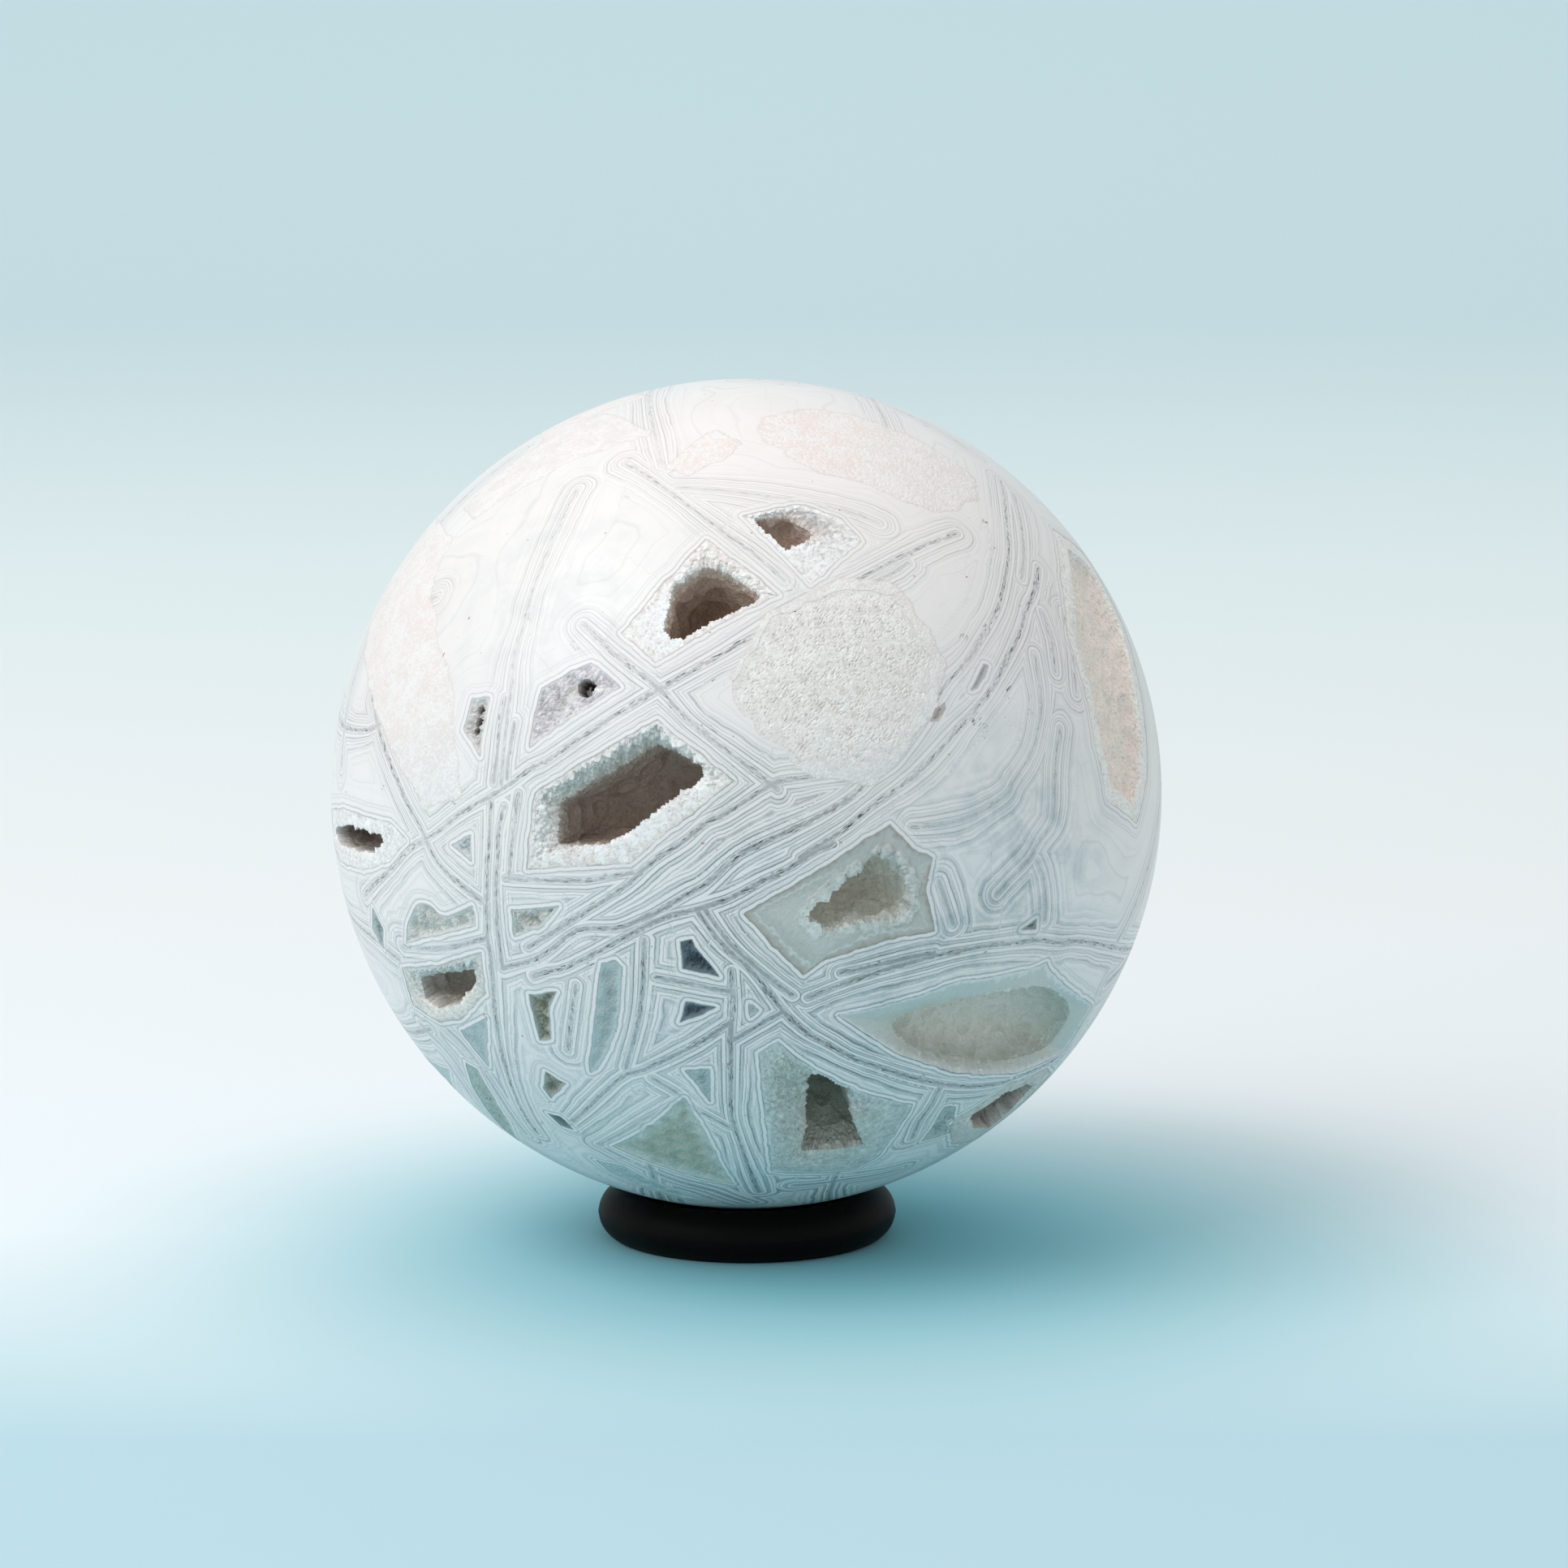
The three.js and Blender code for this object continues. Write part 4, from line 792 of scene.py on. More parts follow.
def from_nearest(points, line):
    """For the points near a line over the ball: the vector to each from the nearest place of the line,
    laid along the surface, its length, and how far along the line and to which side of it that is."""
    middle = (line.max(0) + line.min(0)) / 2
    span = np.linalg.norm(line - middle, axis=1).max() + SEAM_INFLUENCE
    near = np.flatnonzero(((points - middle) ** 2).sum(1) < span**2)
    here = points[near]
    outward = here / np.linalg.norm(here, axis=1, keepdims=True)
    best = np.full((len(near), 3), FAR)
    least = np.full(len(near), FAR**2)
    along, across = np.zeros(len(near)), np.zeros(len(near))
    gone = 0
    for start, end in zip(line[:-1], line[1:]):
        run = end - start
        length = np.linalg.norm(run)
        share = np.clip((here - start) @ run / length**2, 0, 1)
        gap = here - start - share[:, None] * run
        gap -= (gap * outward).sum(1, keepdims=True) * outward
        distance = (gap**2).sum(1)
        closer = distance < least
        best[closer], least[closer] = gap[closer], distance[closer]
        along[closer] = gone + share[closer] * length
        side = (np.cross(run, here - start) * outward).sum(1)
        across[closer] = np.sign(side[closer]) * np.sqrt(distance[closer])
        gone += length
    return near, best, np.sqrt(least), along, across


def rounded(line):
    """A line over the ball with two more points in each stretch. They lie on the curve through its points
    that runs at each of them in the direction from the one before it to the one after it."""
    if len(line) < 4:
        return line
    padded = np.vstack([2 * line[0] - line[1], line, 2 * line[-1] - line[-2]])
    before, start, end, after = padded[:-3], padded[1:-2], padded[2:-1], padded[3:]
    bend = 2 * before - 5 * start + 4 * end - after
    twist = 3 * start - before - 3 * end + after
    points = [start + 0.5 * ((end - before) * share + bend * share**2 + twist * share**3)
              for share in (0, 1 / 3, 2 / 3)]
    curve = np.vstack([np.stack(points, 1).reshape(-1, 3), line[-1:]])
    return curve * BALL_RADIUS / np.linalg.norm(curve, axis=1, keepdims=True)


def frame_seams(cell):
    """A straight seam along each edge of a cell, a little way out and on past its corners."""
    corners = np.array(cell["cell"], float)
    after = np.roll(corners, -1, axis=0)
    area = (corners[:, 0] * after[:, 1] - corners[:, 1] * after[:, 0]).sum()
    lengths = np.linalg.norm(after - corners, axis=1)
    edges = (after - corners) / lengths[:, None]
    outward = np.stack([edges[:, 1], -edges[:, 0]], 1) * np.sign(area)
    starts = corners + outward * SEAM_TO_CELL - edges * SEAM_OVERSHOOT
    ends = after + outward * SEAM_TO_CELL + edges * SEAM_OVERSHOOT
    return [(cell["side"], FRAME_DARKNESS, [start, end])
            for start, end, length in zip(starts, ends, lengths) if length > SHORT_EDGE]


def on_sheets(lines):
    """Shares seams out over sheets, so that no two on a sheet come near each other."""
    sheets = []
    for dark, line in lines:
        fine = np.vstack([start + (end - start) * np.linspace(0, 1, CLEARANCE_PLACES)[:, None]
                          for start, end in zip(line[:-1], line[1:])])
        for sheet in sheets:
            if ((fine[:, None] - sheet["fine"]) ** 2).sum(-1).min() > SHEET_CLEARANCE**2:
                break
        else:
            sheet = dict(fine=fine, lines=[])
            sheets.append(sheet)
        sheet["fine"] = np.vstack([sheet["fine"], fine])
        sheet["lines"].append((dark, line))
    return [sheet["lines"] for sheet in sheets]


def attribute(mesh, name, kind, values):
    """A value at each point of a mesh, for its material to read."""
    key = {"FLOAT": "value", "FLOAT_VECTOR": "vector", "FLOAT_COLOR": "color"}[kind]
    mesh.attributes.new(name, kind, "POINT").data.foreach_set(key, np.ravel(values).astype(np.float32))


def keep_nearest(vectors, distances, near, gap, distance):
    """Puts a line's vectors and distances in at the points that no earlier line comes as near to."""
    closer = distance < distances[near]
    vectors[near[closer]] = gap[closer]
    distances[near[closer]] = distance[closer]


def follow_seams(mesh, points):
    """Has a mesh hold the vector from the nearest seam of each sheet, the run along the nearest seam of
    all and the distance to its side. Returns how many sheets there are, the distance to the nearest
    seam, how dark the seams near a point are, and how clear the nearest is of the second."""
    framed = [cell for cell in POCKETS + BEDS if cell["side"] in HIDDEN_SIDES]
    seams = [(dark, on_ball(side, line)) for side, dark, line in SEAMS + sum(map(frame_seams, framed), [])]
    sheets = on_sheets(seams)
    nearest, second = np.full((2, len(points)), FAR)
    runs = np.zeros((len(points), 3))
    pulls, darkness = np.full(len(points), 1e-6), np.zeros(len(points))
    seam_count = 0
    for number, sheet in enumerate(sheets):
        vectors = np.full((len(points), 3), FAR)
        distances = np.full(len(points), FAR)
        for dark, line in sheet:
            near, gap, distance, along, across = from_nearest(points, rounded(line))
            keep_nearest(vectors, distances, near, gap, distance)
            pull = np.exp(-((distance / PULL_REACH) ** 2))
            pulls[near] += pull
            darkness[near] += pull * dark
            second[near] = np.minimum(second[near], np.maximum(nearest[near], distance))
            seam_count += 1
            run = np.stack([along, across, np.full(len(along), RUN_APART * seam_count)], 1)
            keep_nearest(runs, nearest, near, run, distance)
        attribute(mesh, f"seam_{number}", "FLOAT_VECTOR", vectors)
    attribute(mesh, "seam_run", "FLOAT_VECTOR", runs)
    return len(sheets), nearest, darkness / pulls, np.clip((second - nearest) / CLEAR_REACH, 0, 1)


def follow_edges(mesh, points, name, cells):
    """Has a mesh hold the vector from the nearest edge of some cells, and returns the distance to it."""
    vectors = np.full((len(points), 3), FAR)
    distances = np.full(len(points), FAR)
    for cell in cells:
        if not cell.get("blends"):
            outline = cell_outline(cell, CUTTER_STEP)
            edge = placed(cell["axes"], outline, np.zeros(len(outline)))
            near, gap, distance, along, across = from_nearest(points, np.vstack([edge, edge[:1]]))
            keep_nearest(vectors, distances, near, gap, distance)
    attribute(mesh, name, "FLOAT_VECTOR", vectors)
    return distances


def grain_insets(points):
    """How far points lie inside the nearest stretch of flush grains, from 0 outside over 0.5 at its edge."""
    insets = np.full(len(points), -FAR)
    for side, outline in GRAINY:
        axes = touching_frame(side, outline)
        near = np.flatnonzero(points @ axes[2] > BALL_RADIUS / 2)
        inset = inset_in(points[near] @ axes[:2].T, flattened(side, outline, axes))
        insets[near] = np.maximum(insets[near], inset)
    return np.clip(insets / GRAINY_REACH + 0.5, 0, 1)


def stone_moods(points):
    """How clear the lines, how cloudy, how warm and how grey the stone is at points: a course over the
    ball's height, and soft patches that fall off as a bell curve. The grey that rises towards the foot is
    partly painted teal bounce light, and at the very foot it is painted shade."""
    height = (points @ side_axes(FRONT)[1]) / BALL_RADIUS
    moods = np.empty((len(points), 4))
    moods[:, 0] = CLEARNESS - CLEARNESS_FALL * height
    moods[:, 1] = CLOUDINESS
    moods[:, 2] = WARMTH * np.clip(height - WARM_FROM, 0, 1)
    # greyer towards the foot: partly painted teal bounce light, and painted shade at the very foot
    moods[:, 3] = GREYNESS + GREY_RISE * np.clip(GREY_BELOW - height, 0, 1)
    moods[:, 3] += FOOT_SHADE_RISE * np.clip(FOOT_SHADE_BELOW - height, 0, 1)
    for side, u, v, span, *change in MOODS:
        distance = np.linalg.norm(points - on_ball(side, [(u, v)]), axis=1)
        moods += np.exp(-((distance / span) ** 2))[:, None] * np.array(change)
    return np.clip(moods, 0, 2)


for cell in POCKETS + BEDS:
    cell.setdefault("side", FRONT)
    cell["axes"] = touching_frame(cell["side"], cell.get("hollow", cell["cell"]))
stone = cut_stone()
stone_points = np.empty(len(stone.data.vertices) * 3)
stone.data.vertices.foreach_get("co", stone_points)
stone_points = stone_points.reshape(-1, 3) / MM - ball_middle
sheet_count, nearest, darkness, clear = follow_seams(stone.data, stone_points)
from_pockets = follow_edges(stone.data, stone_points, "pocket_edge", POCKETS)
from_beds = follow_edges(stone.data, stone_points, "bed_edge", BEDS)
attribute(stone.data, "contour", "FLOAT", np.minimum.reduce([nearest, from_pockets, from_beds]))
attribute(stone.data, "seam_marks", "FLOAT_COLOR",
          np.stack([darkness, clear, grain_insets(stone_points), clear], 1))
attribute(stone.data, "moods", "FLOAT_COLOR", stone_moods(stone_points))

# The stone's shading. Sizes are in mm, and a pair gives the two ends of a smooth step unless its name
# says otherwise.
SWELL_GRAIN, RIPPLE_GRAIN, SLOW_GRAIN, MILK_GRAIN = 2.6, 0.45, 13.0, 3.4  # of the noises it is made from
SEAM_SWELLS_IN, SEAM_SWELL, SEAM_RIPPLE = (0.2, 2.2), 0.7, 0.07  # how seams' bands swell and ripple
BAND_WIDTHS = (1.1, 0.45)  # the bands' scale: by how much it varies, and its least
LONG_STREAK, STREAK_FADES = (9.0, 0.4), (0.34, 0.56)  # length and width, and how lines fade in them
CROSSING_FADE = 0.6  # where seams cross
FINE_RATE, FINE_CUT, FINE_CLEAR, FINE_STRENGTH = 3.2, (0.34, 0.47), (0.6, 1.1), 0.6  # the finest lines
FADED_LINE, LINES_SINK, SUNK_LINE = 0.4, (1.1, 2.6), 0.5  # what is left of a line faded or far out
LOBE_SIZE, LOBE_SOFTNESS, LOBE_BULGE, LOBE_SWELL, LOBES_IN = 6.0, 0.3, 3.4, 0.6, (1.2, 4.5)
FAR_FROM = (2.2, 3.6)  # out from a seam
FAR_LINES = (0.8, (0.30, 0.46), 0.2)  # how many to a mm, the noise's cut, and the lines' strength
FAR_BANDS = (0.55, (0.42, 0.62), 0.4)
FAR_BANDS_APART = 9.0  # between the noises of the two
EDGE_RIPPLE, EDGE_SWELL = 0.14, 0.3  # how cells' own bands ripple and swell
EDGE_LINE_CLEAR, EDGE_LINE, SEAM_LINES_AT_EDGE = 0.55, 0.12, 0.85
FLUSH_GRAIN, GRAIN_LOBES, GRAIN_SWELLS, GRAIN_JAGS = 0.3, 0.3, 0.3, 0.12
LOBE_MIDDLE = 0.4
GRAINS_IN, BORDER_IN, BORDER_OUT = (0.48, 0.55), (0.46, 0.5), (0.51, 0.56)  # by the inset attribute
BLOTCH_GRAIN, GRAIN_TONES, GRAIN_PINKNESS, BORDER_STRENGTH = 2.2, (0.7, 1.2), 3.0, 0.4
TONE_TO_BLOTCH = 0.9  # how much a grain's tone counts, to the blotches' 1
MILK_CLOUDS, SPECK_GRAIN, SPECK_RANGE = (0.42, 0.68), 0.24, (1.6, 0.2)  # a factor and a least
GREY_BASE, GREY_CLOUD = 0.35, (0.6, 0.2)  # a factor of the greyness and a least
DEEP_LINES = 1.6
CORE_WIDTH, CORE_EDGE, CORE_STREAK, CORE_CUT, CORE_STRENGTH = 0.7, 0.5, (0.6, 0.14), (0.4, 0.6), 0.8
DASH_GRAIN, DASH_WIDTH, DASH_EDGE, DASH_STREAK = 2.4, (1.1, -0.3), 0.6, (0.8, 0.13)
DASH_CUT, DASH_CLEAR = (0.58, 0.64), (0.7, 0.3)
RUST_GRAIN, RUST_CUT, RUST_STRENGTH = 0.5, (0.87, 0.89), 0.7
POLISH = (0.3, 0.4)  # the polished stone's roughness
GRAIN_ROUGHER, DASH_ROUGHER, STONE_RELIEF, STONE_SHINE = 0.14, 0.3, 0.5, 0.4
GRAIN_RELIEF_DEPTH = 0.0001  # in m
GRAIN_CLOUD = 1 / 0.55  # the grain of the clouds over the quartz grains
GRAIN_TONE = 0.45  # a grain's own share of its tone, to the clouds' share


def parts_of(colour):
    """The three values that a colour holds."""
    return add(tree_of(colour), "SeparateColor", {"Color": colour}).outputs[:]


def read_bands(distance, bands, span):
    """How white and how shaded the bands are at a distance."""
    ramp = add(tree_of(distance), "ValToRGB", {"Fac": calc("DIVIDE", distance, span)})
    stops = ramp.color_ramp.elements
    for place_mm, white, shade in bands[1:-1]:
        stops.new(place_mm / span)
    for stop, (place_mm, white, shade) in zip(stops, bands):
        stop.position = place_mm / span
        stop.color = (white, shade, 0, 1)
    return parts_of(ramp.outputs[0])[:2]


def quartz_grain_group():
    """Tightly grown quartz grains of a size in mm: a tone for each grain over soft clouds, and a
    height that falls from each grain's middle."""
    tree = bpy.data.node_groups.new("quartz_grain", "ShaderNodeTree")
    tree.interface.new_socket("Place", in_out="INPUT", socket_type="NodeSocketVector")
    tree.interface.new_socket("Grain", in_out="INPUT", socket_type="NodeSocketFloat")
    for name in ("Tone", "Height"):
        tree.interface.new_socket(name, in_out="OUTPUT", socket_type="NodeSocketFloat")
    given, results = tree.nodes.new("NodeGroupInput").outputs, tree.nodes.new("NodeGroupOutput").inputs
    cells = add(tree, "TexVoronoi", {"Vector": given["Place"], "Scale": calc("DIVIDE", 1.0, given["Grain"])})
    own = parts_of(cells.outputs["Color"])[0]
    cloud = noise(given["Place"], GRAIN_CLOUD, detail=4, rough=0.6)
    tree.links.new(scaled(own, GRAIN_TONE, times(cloud, 1 - GRAIN_TONE)), results["Tone"])
    tree.links.new(less(1.0, cells.outputs["Distance"]), results["Height"])
    return tree


def grains_of(place, grain):
    """The tone and the height of quartz grains of a size."""
    return add(tree_of(place), "Group", {"Place": place, "Grain": grain}, node_tree=quartz_grain).outputs[:2]


def along(distance, detail, rough=0.5):
    """Even noise from 0 to 1 that changes along a distance alone."""
    inputs = {"W": distance, "Scale": 1.0, "Detail": detail, "Roughness": rough}
    return add(tree_of(distance), "TexNoise", inputs, noise_dimensions="1D").outputs[0]


def inverse(value):
    """1 less a value."""
    return less(1.0, value)


def held(name, output="Fac"):
    """A value that the stone's points hold."""
    return add(agate.node_tree, "Attribute", attribute_name=name).outputs[output]


def length_of(name):
    """How long the vector is that the stone's points hold."""
    return add(agate.node_tree, "VectorMath", {0: held(name, "Vector")}, operation="LENGTH").outputs["Value"]


def streaks(length, width):
    """Noise drawn out along the seams: as long and as wide as given."""
    inputs = {"Vector": held("seam_run", "Vector"), "Scale": (1 / length, 1 / width, 1)}
    drawn = add(agate.node_tree, "Mapping", inputs).outputs[0]
    return noise(drawn, 1.0, detail=2.0)


def seam_bands():
    """The lines and the shade of the bands beside the seams. They swell, ripple and change in width, and
    their lines fade in long streaks, where seams cross and on the way out."""
    swell = times(less(swells, 0.5), ease(seam_gap, *SEAM_SWELLS_IN))
    wavy_gap = scaled(swell, SEAM_SWELL, seam_gap)
    wavy_gap = scaled(less(ripples, 0.5), SEAM_RIPPLE, wavy_gap)
    stretched = times(wavy_gap, scaled(noise(place, SLOW_GRAIN, detail=0), *BAND_WIDTHS))
    white, shade = read_bands(stretched, SEAM_BANDS, BAND_REACH)
    fade = mixed(clear_of_others, CROSSING_FADE, ease(streaks(*LONG_STREAK), *STREAK_FADES))
    fine = inverse(ease(along(times(stretched, FINE_RATE), 2.0), *FINE_CUT))
    fine = times(fine, times(ease(clearness, *FINE_CLEAR), FINE_STRENGTH))
    lines = calc("MAXIMUM", inverse(white), fine)
    lines = times(lines, scaled(fade, 1 - FADED_LINE, FADED_LINE))
    return times(lines, scaled(ease(seam_gap, *LINES_SINK), -SUNK_LINE, 1.0)), shade


def far_bands():
    """The faint lines and the wide shaded bands far from the seams, which follow the cells' outlines in
    lobes."""
    contour = held("contour")
    bulge = scaled(lobes, LOBE_BULGE, times(swells, LOBE_SWELL))
    lobed = calc("ADD", contour, times(bulge, ease(contour, *LOBES_IN)))
    rate, cut, strength = FAR_LINES
    lines = times(inverse(ease(along(times(lobed, rate), 3.0, rough=0.6), *cut)), strength)
    rate, cut, strength = FAR_BANDS
    return lines, times(ease(along(scaled(lobed, rate, FAR_BANDS_APART), 1.0), *cut), strength)


def with_cell_bands(lines, shade):
    """The lines and the shade with those of the cells' own bands, which lie round each cell's edge."""
    wavy_edge = scaled(less(ripples, 0.5), EDGE_RIPPLE, edge_gap)
    wavy_edge = scaled(less(swells, 0.5), EDGE_SWELL, wavy_edge)
    white, own_shade = read_bands(wavy_edge, EDGE_BANDS, EDGE_REACH)
    own_lines = times(inverse(white), scaled(clearness, EDGE_LINE_CLEAR, EDGE_LINE))
    beside_cell = inverse(ease(edge_gap, *EDGE_BAND_END))
    lines = times(lines, scaled(beside_cell, -SEAM_LINES_AT_EDGE, 1.0))
    return calc("MAXIMUM", lines, own_lines, clamp=True), mixed(beside_cell, shade, own_shade)


def banded_stone():
    """The stone's colour with its clouds, its shaded bands and their lines."""
    near_lines, near_shade = seam_bands()
    far_lines, far_shade = far_bands()
    is_far = ease(seam_gap, *FAR_FROM)
    lines = times(mixed(is_far, near_lines, far_lines), clearness)
    lines, shade = with_cell_bands(lines, mixed(is_far, near_shade, far_shade))
    clouds = times(ease(milk, *MILK_CLOUDS), cloudiness)
    specks = scaled(noise(place, SPECK_GRAIN, detail=1), *SPECK_RANGE)
    # grey_and_shade carries the painted teal bounce light and the foot's painted shade into the bands
    banded_grey = times(times(shade, specks), times(grey_and_shade, calc("ADD", grey_and_shade, GREY_BASE)))
    cloudy_grey = times(clouds, scaled(grey_and_shade, *GREY_CLOUD))
    body = blend_colour(calc("ADD", banded_grey, cloudy_grey, clamp=True), AGATE_WHITE, AGATE_GREY)
    body = blend_colour(times(warmth, swells), body, AGATE_WARM)
    # the lines turn a deeper teal with it, also painted bounce light
    line_colour = blend_colour(times(grey_and_shade, DEEP_LINES, clamp=True), AGATE_LINE, AGATE_DEEP_LINE)
    return blend_colour(lines, body, line_colour)


def seam_core(width, edge):
    """1 on a seam, and 0 from a width out: it starts to fall at a share of that."""
    return inverse(ease(calc("DIVIDE", seam_gap, width), edge, 1.0))


def with_seam_cores(colour):
    """A colour with the grey mineral blade that shows here and there in the middle of a dark seam."""
    core = seam_core(scaled(swells, CORE_WIDTH, 0.0), CORE_EDGE)
    share = times(times(core, ease(streaks(*CORE_STREAK), *CORE_CUT)), dark_seam)
    share = times(share, times(clearness, CORE_STRENGTH), clamp=True)
    return blend_colour(share, colour, SEAM_CORE)


def seam_dashes():
    """The near black dashes in the middle of a dark seam."""
    width = scaled(noise(place, DASH_GRAIN, detail=1), *DASH_WIDTH)
    dashes = times(ease(streaks(*DASH_STREAK), *DASH_CUT), seam_core(width, DASH_EDGE))
    dashes = times(times(dashes, clear_of_others), dark_seam)
    return times(dashes, scaled(clearness, *DASH_CLEAR), clamp=True)


def with_flush_grains(colour, tone):
    """A colour with the stretches of quartz grains, which have a ragged edge and a thin brown border, and
    how much of the grains shows."""
    inset = scaled(less(lobes, LOBE_MIDDLE), GRAIN_LOBES, grain_inset)
    inset = scaled(less(swells, 0.5), GRAIN_SWELLS, inset)
    inset = scaled(less(tone, 0.5), GRAIN_JAGS, inset)
    grains = ease(inset, *GRAINS_IN)
    border = less(ease(inset, *BORDER_IN), ease(inset, *BORDER_OUT))
    lightness = scaled(noise(place, BLOTCH_GRAIN, detail=4, rough=0.6), 1.0, times(tone, TONE_TO_BLOTCH))
    base = blend_colour(times(warmth, GRAIN_PINKNESS, clamp=True), GRAIN_DARK, GRAIN_PINK)
    grain_colour = blend_colour(ease(lightness, *GRAIN_TONES), base, GRAIN_LIGHT)
    colour = blend_colour(grains, colour, grain_colour)
    return blend_colour(times(border, BORDER_STRENGTH), colour, GRAIN_BORDER), grains


quartz_grain = quartz_grain_group()
agate, shader, place = new_material("banded_agate")
swells = noise(place, SWELL_GRAIN)
ripples = noise(place, RIPPLE_GRAIN, detail=1)
milk = noise(place, MILK_GRAIN, detail=4, rough=0.6)
lobe_inputs = {"Vector": place, "Scale": 1 / LOBE_SIZE, "Smoothness": LOBE_SOFTNESS}
lobes = add(agate.node_tree, "TexVoronoi", lobe_inputs, feature="SMOOTH_F1").outputs["Distance"]
seam_gap = length_of("seam_0")
for number in range(1, sheet_count):
    seam_gap = calc("MINIMUM", seam_gap, length_of(f"seam_{number}"))
edge_gap = calc("MINIMUM", length_of("pocket_edge"), length_of("bed_edge"))
clearness, cloudiness, warmth = parts_of(held("moods", "Color"))
# the moods' grey, which also holds the painted teal bounce light and the foot's painted shade
grey_and_shade = held("moods", "Alpha")
dark_seam, clear_of_others, grain_inset = parts_of(held("seam_marks", "Color"))
grain_tone, grain_height = grains_of(place, FLUSH_GRAIN)

dashes = seam_dashes()
dashed = blend_colour(dashes, with_seam_cores(banded_stone()), SEAM_DASH)
rust = times(ease(noise(place, RUST_GRAIN, detail=0), *RUST_CUT), RUST_STRENGTH)
stone_colour, grains = with_flush_grains(blend_colour(rust, dashed, RUST), grain_tone)
rougher = scaled(grains, GRAIN_ROUGHER, between(milk, *POLISH))
finish_shader(
    shader,
    stone_colour,
    scaled(dashes, DASH_ROUGHER, rougher),
    bump(less(times(grain_height, grains), dashes), STONE_RELIEF, GRAIN_RELIEF_DEPTH),
    STONE_SHINE,
)
stone.data.materials.append(agate)
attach(stone, "root")
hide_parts("agate_sphere")

# The crusts
# Small quartz crystals line each hollow. They grew inwards from the banded wall, and grinding the
# ball has cut the ones at the mouth off flush. Some cells have a flat polished margin of clear
# quartz between the bands and the crystals.
CRUST_STEP = 0.22  # between a crust's points, unless a cell gives its own
HOLLOW_SOFTNESS = 0.5  # over how many mm a hollow's corners are rounded to either side
LEAST_RIM = 0.35
RIM_DROP = 0.03  # the crust's cut rim under the ball's surface
RIM_CURVE = 1.3  # the power with which the rim sinks on the way in
UNDER_EDGE = 0.3  # how far a crust reaches under the stone around it
CRUST_UNDER = 0.8  # thickness of the crust under its deepest point
CRUST_TAPER = 0.85
FEWEST_ROWS = 6
POLE_DROP = 0.4  # of a crystal's height, at the middle of the floor
WALL_ROUNDNESS = 0.35
WALL_ROUGHNESS = 0.3  # how high the crystals on the wall and floor stand, to those at the lip
WALL_FROM, WALL_BY = 0.1, 0.5  # of the hollow's depth: where the wall's roughness starts and is full
WALL_LUMP = 0.3  # how far the lumps of the wall and floor stand out
WALL_LUMP_MIDDLE = 0.6
WALL_LUMP_LENGTH = 3.4
LIP = 99.0  # how far out from the hollow the rim is rough, unless a cell gives less
LIP_WAVE, LIP_WAVE_LENGTH, LIP_BLEND = 0.2, 1.3, 0.35
ZONE_WAVE, ZONE_WAVE_LENGTH = 0.16, 0.9
CRYSTAL_SIDES = 6
CRYSTAL_SPACING = 0.6  # of a crystal's usual height
FEWEST_CRYSTALS = 8
SEED = 11
CRYSTAL_HEIGHTS = (0.3, 1.0)
BIG_CRYSTALS = 0.05  # the share of crystals that are larger, and how much larger
BIG_CRYSTAL = 1.7
LIP_CRYSTALS = 0.15  # how much larger the crystals are at the hollow's lip, and how far out that reaches
LIP_CRYSTALS_REACH = 0.9
SMOOTH_GRAIN = 0.35  # how grainy a flat polished margin looks, to a crystal crust's 1
CRYSTAL_SLOPES = (0.9, 1.5)
CRYSTAL_LEAN = 0.28
CRYSTAL_REACH = 1.2  # of the distance at which an upright crystal has come down to nothing
TIPS_AT_ONCE = 400
# Crystals are painted lighter at the tip and darker near the foot: a painted highlight and the painted shade
# between crystals
TIP_PAINTED_LIGHT = 0.15  # how much lighter a crystal's tip is than its foot
TIP_MIDDLE = 0.3  # of its height, where it has its plain colour
OWN_TONE = 0.16  # how much lighter or darker one crystal is than another
# The sloping side's colour is partly painted shade on the side where the rim slopes most
SLOPING_RISE, SLOPING_BELOW, SLOPING_WIDE = 1.6, 0.5, 0.8  # how the sloping side's colour comes in
# The wall's and the floor's colours come in with depth: partly the crystals' own tints, partly painted shade
# in the hollow
TO_WALL = (0.08, 0.25)  # of the hollow's depth: where a colour starts to turn, and over how much
TO_FLOOR = (0.35, 0.6)
DARKEST, LIGHTEST = 0.01, 0.94
DRUSE_GRAIN, FLECK_GRAIN = 0.28, 0.32
DRUSE_TONES = (0.84, 1.12)
FLECK_CUT, FLECK_DARKNESS = (0.56, 0.66), 0.22
SMOOTH_TONE = 0.95
DRUSE_ROUGHNESS = (0.2, 0.5)
DRUSE_RELIEF, DRUSE_SHINE = 0.35, 0.25


def reach(corners, directions):
    """How far a closed outline lies from the frame's middle in each direction."""
    start, edge = corners[None], (np.roll(corners, -1, axis=0) - corners)[None]
    x, y = directions[:, None, 0], directions[:, None, 1]
    across = x * edge[..., 1] - y * edge[..., 0]
    across = np.where(np.abs(across) < 1e-9, 1e-9, across)
    distance = (start[..., 0] * edge[..., 1] - start[..., 1] * edge[..., 0]) / across
    share = (start[..., 0] * y - start[..., 1] * x) / across
    return np.where((distance > 0) & (np.abs(share - 0.5) <= 0.5 + 1e-6), distance, 0).max(1)


def unit(vectors):
    """Vectors made one long."""
    return vectors / np.maximum(np.linalg.norm(vectors, axis=-1, keepdims=True), 1e-9)


def ramp_up(values, start, width):
    """From 0 at a start evenly up to 1 over a width."""
    return np.clip((values - start) / width, 0, 1)


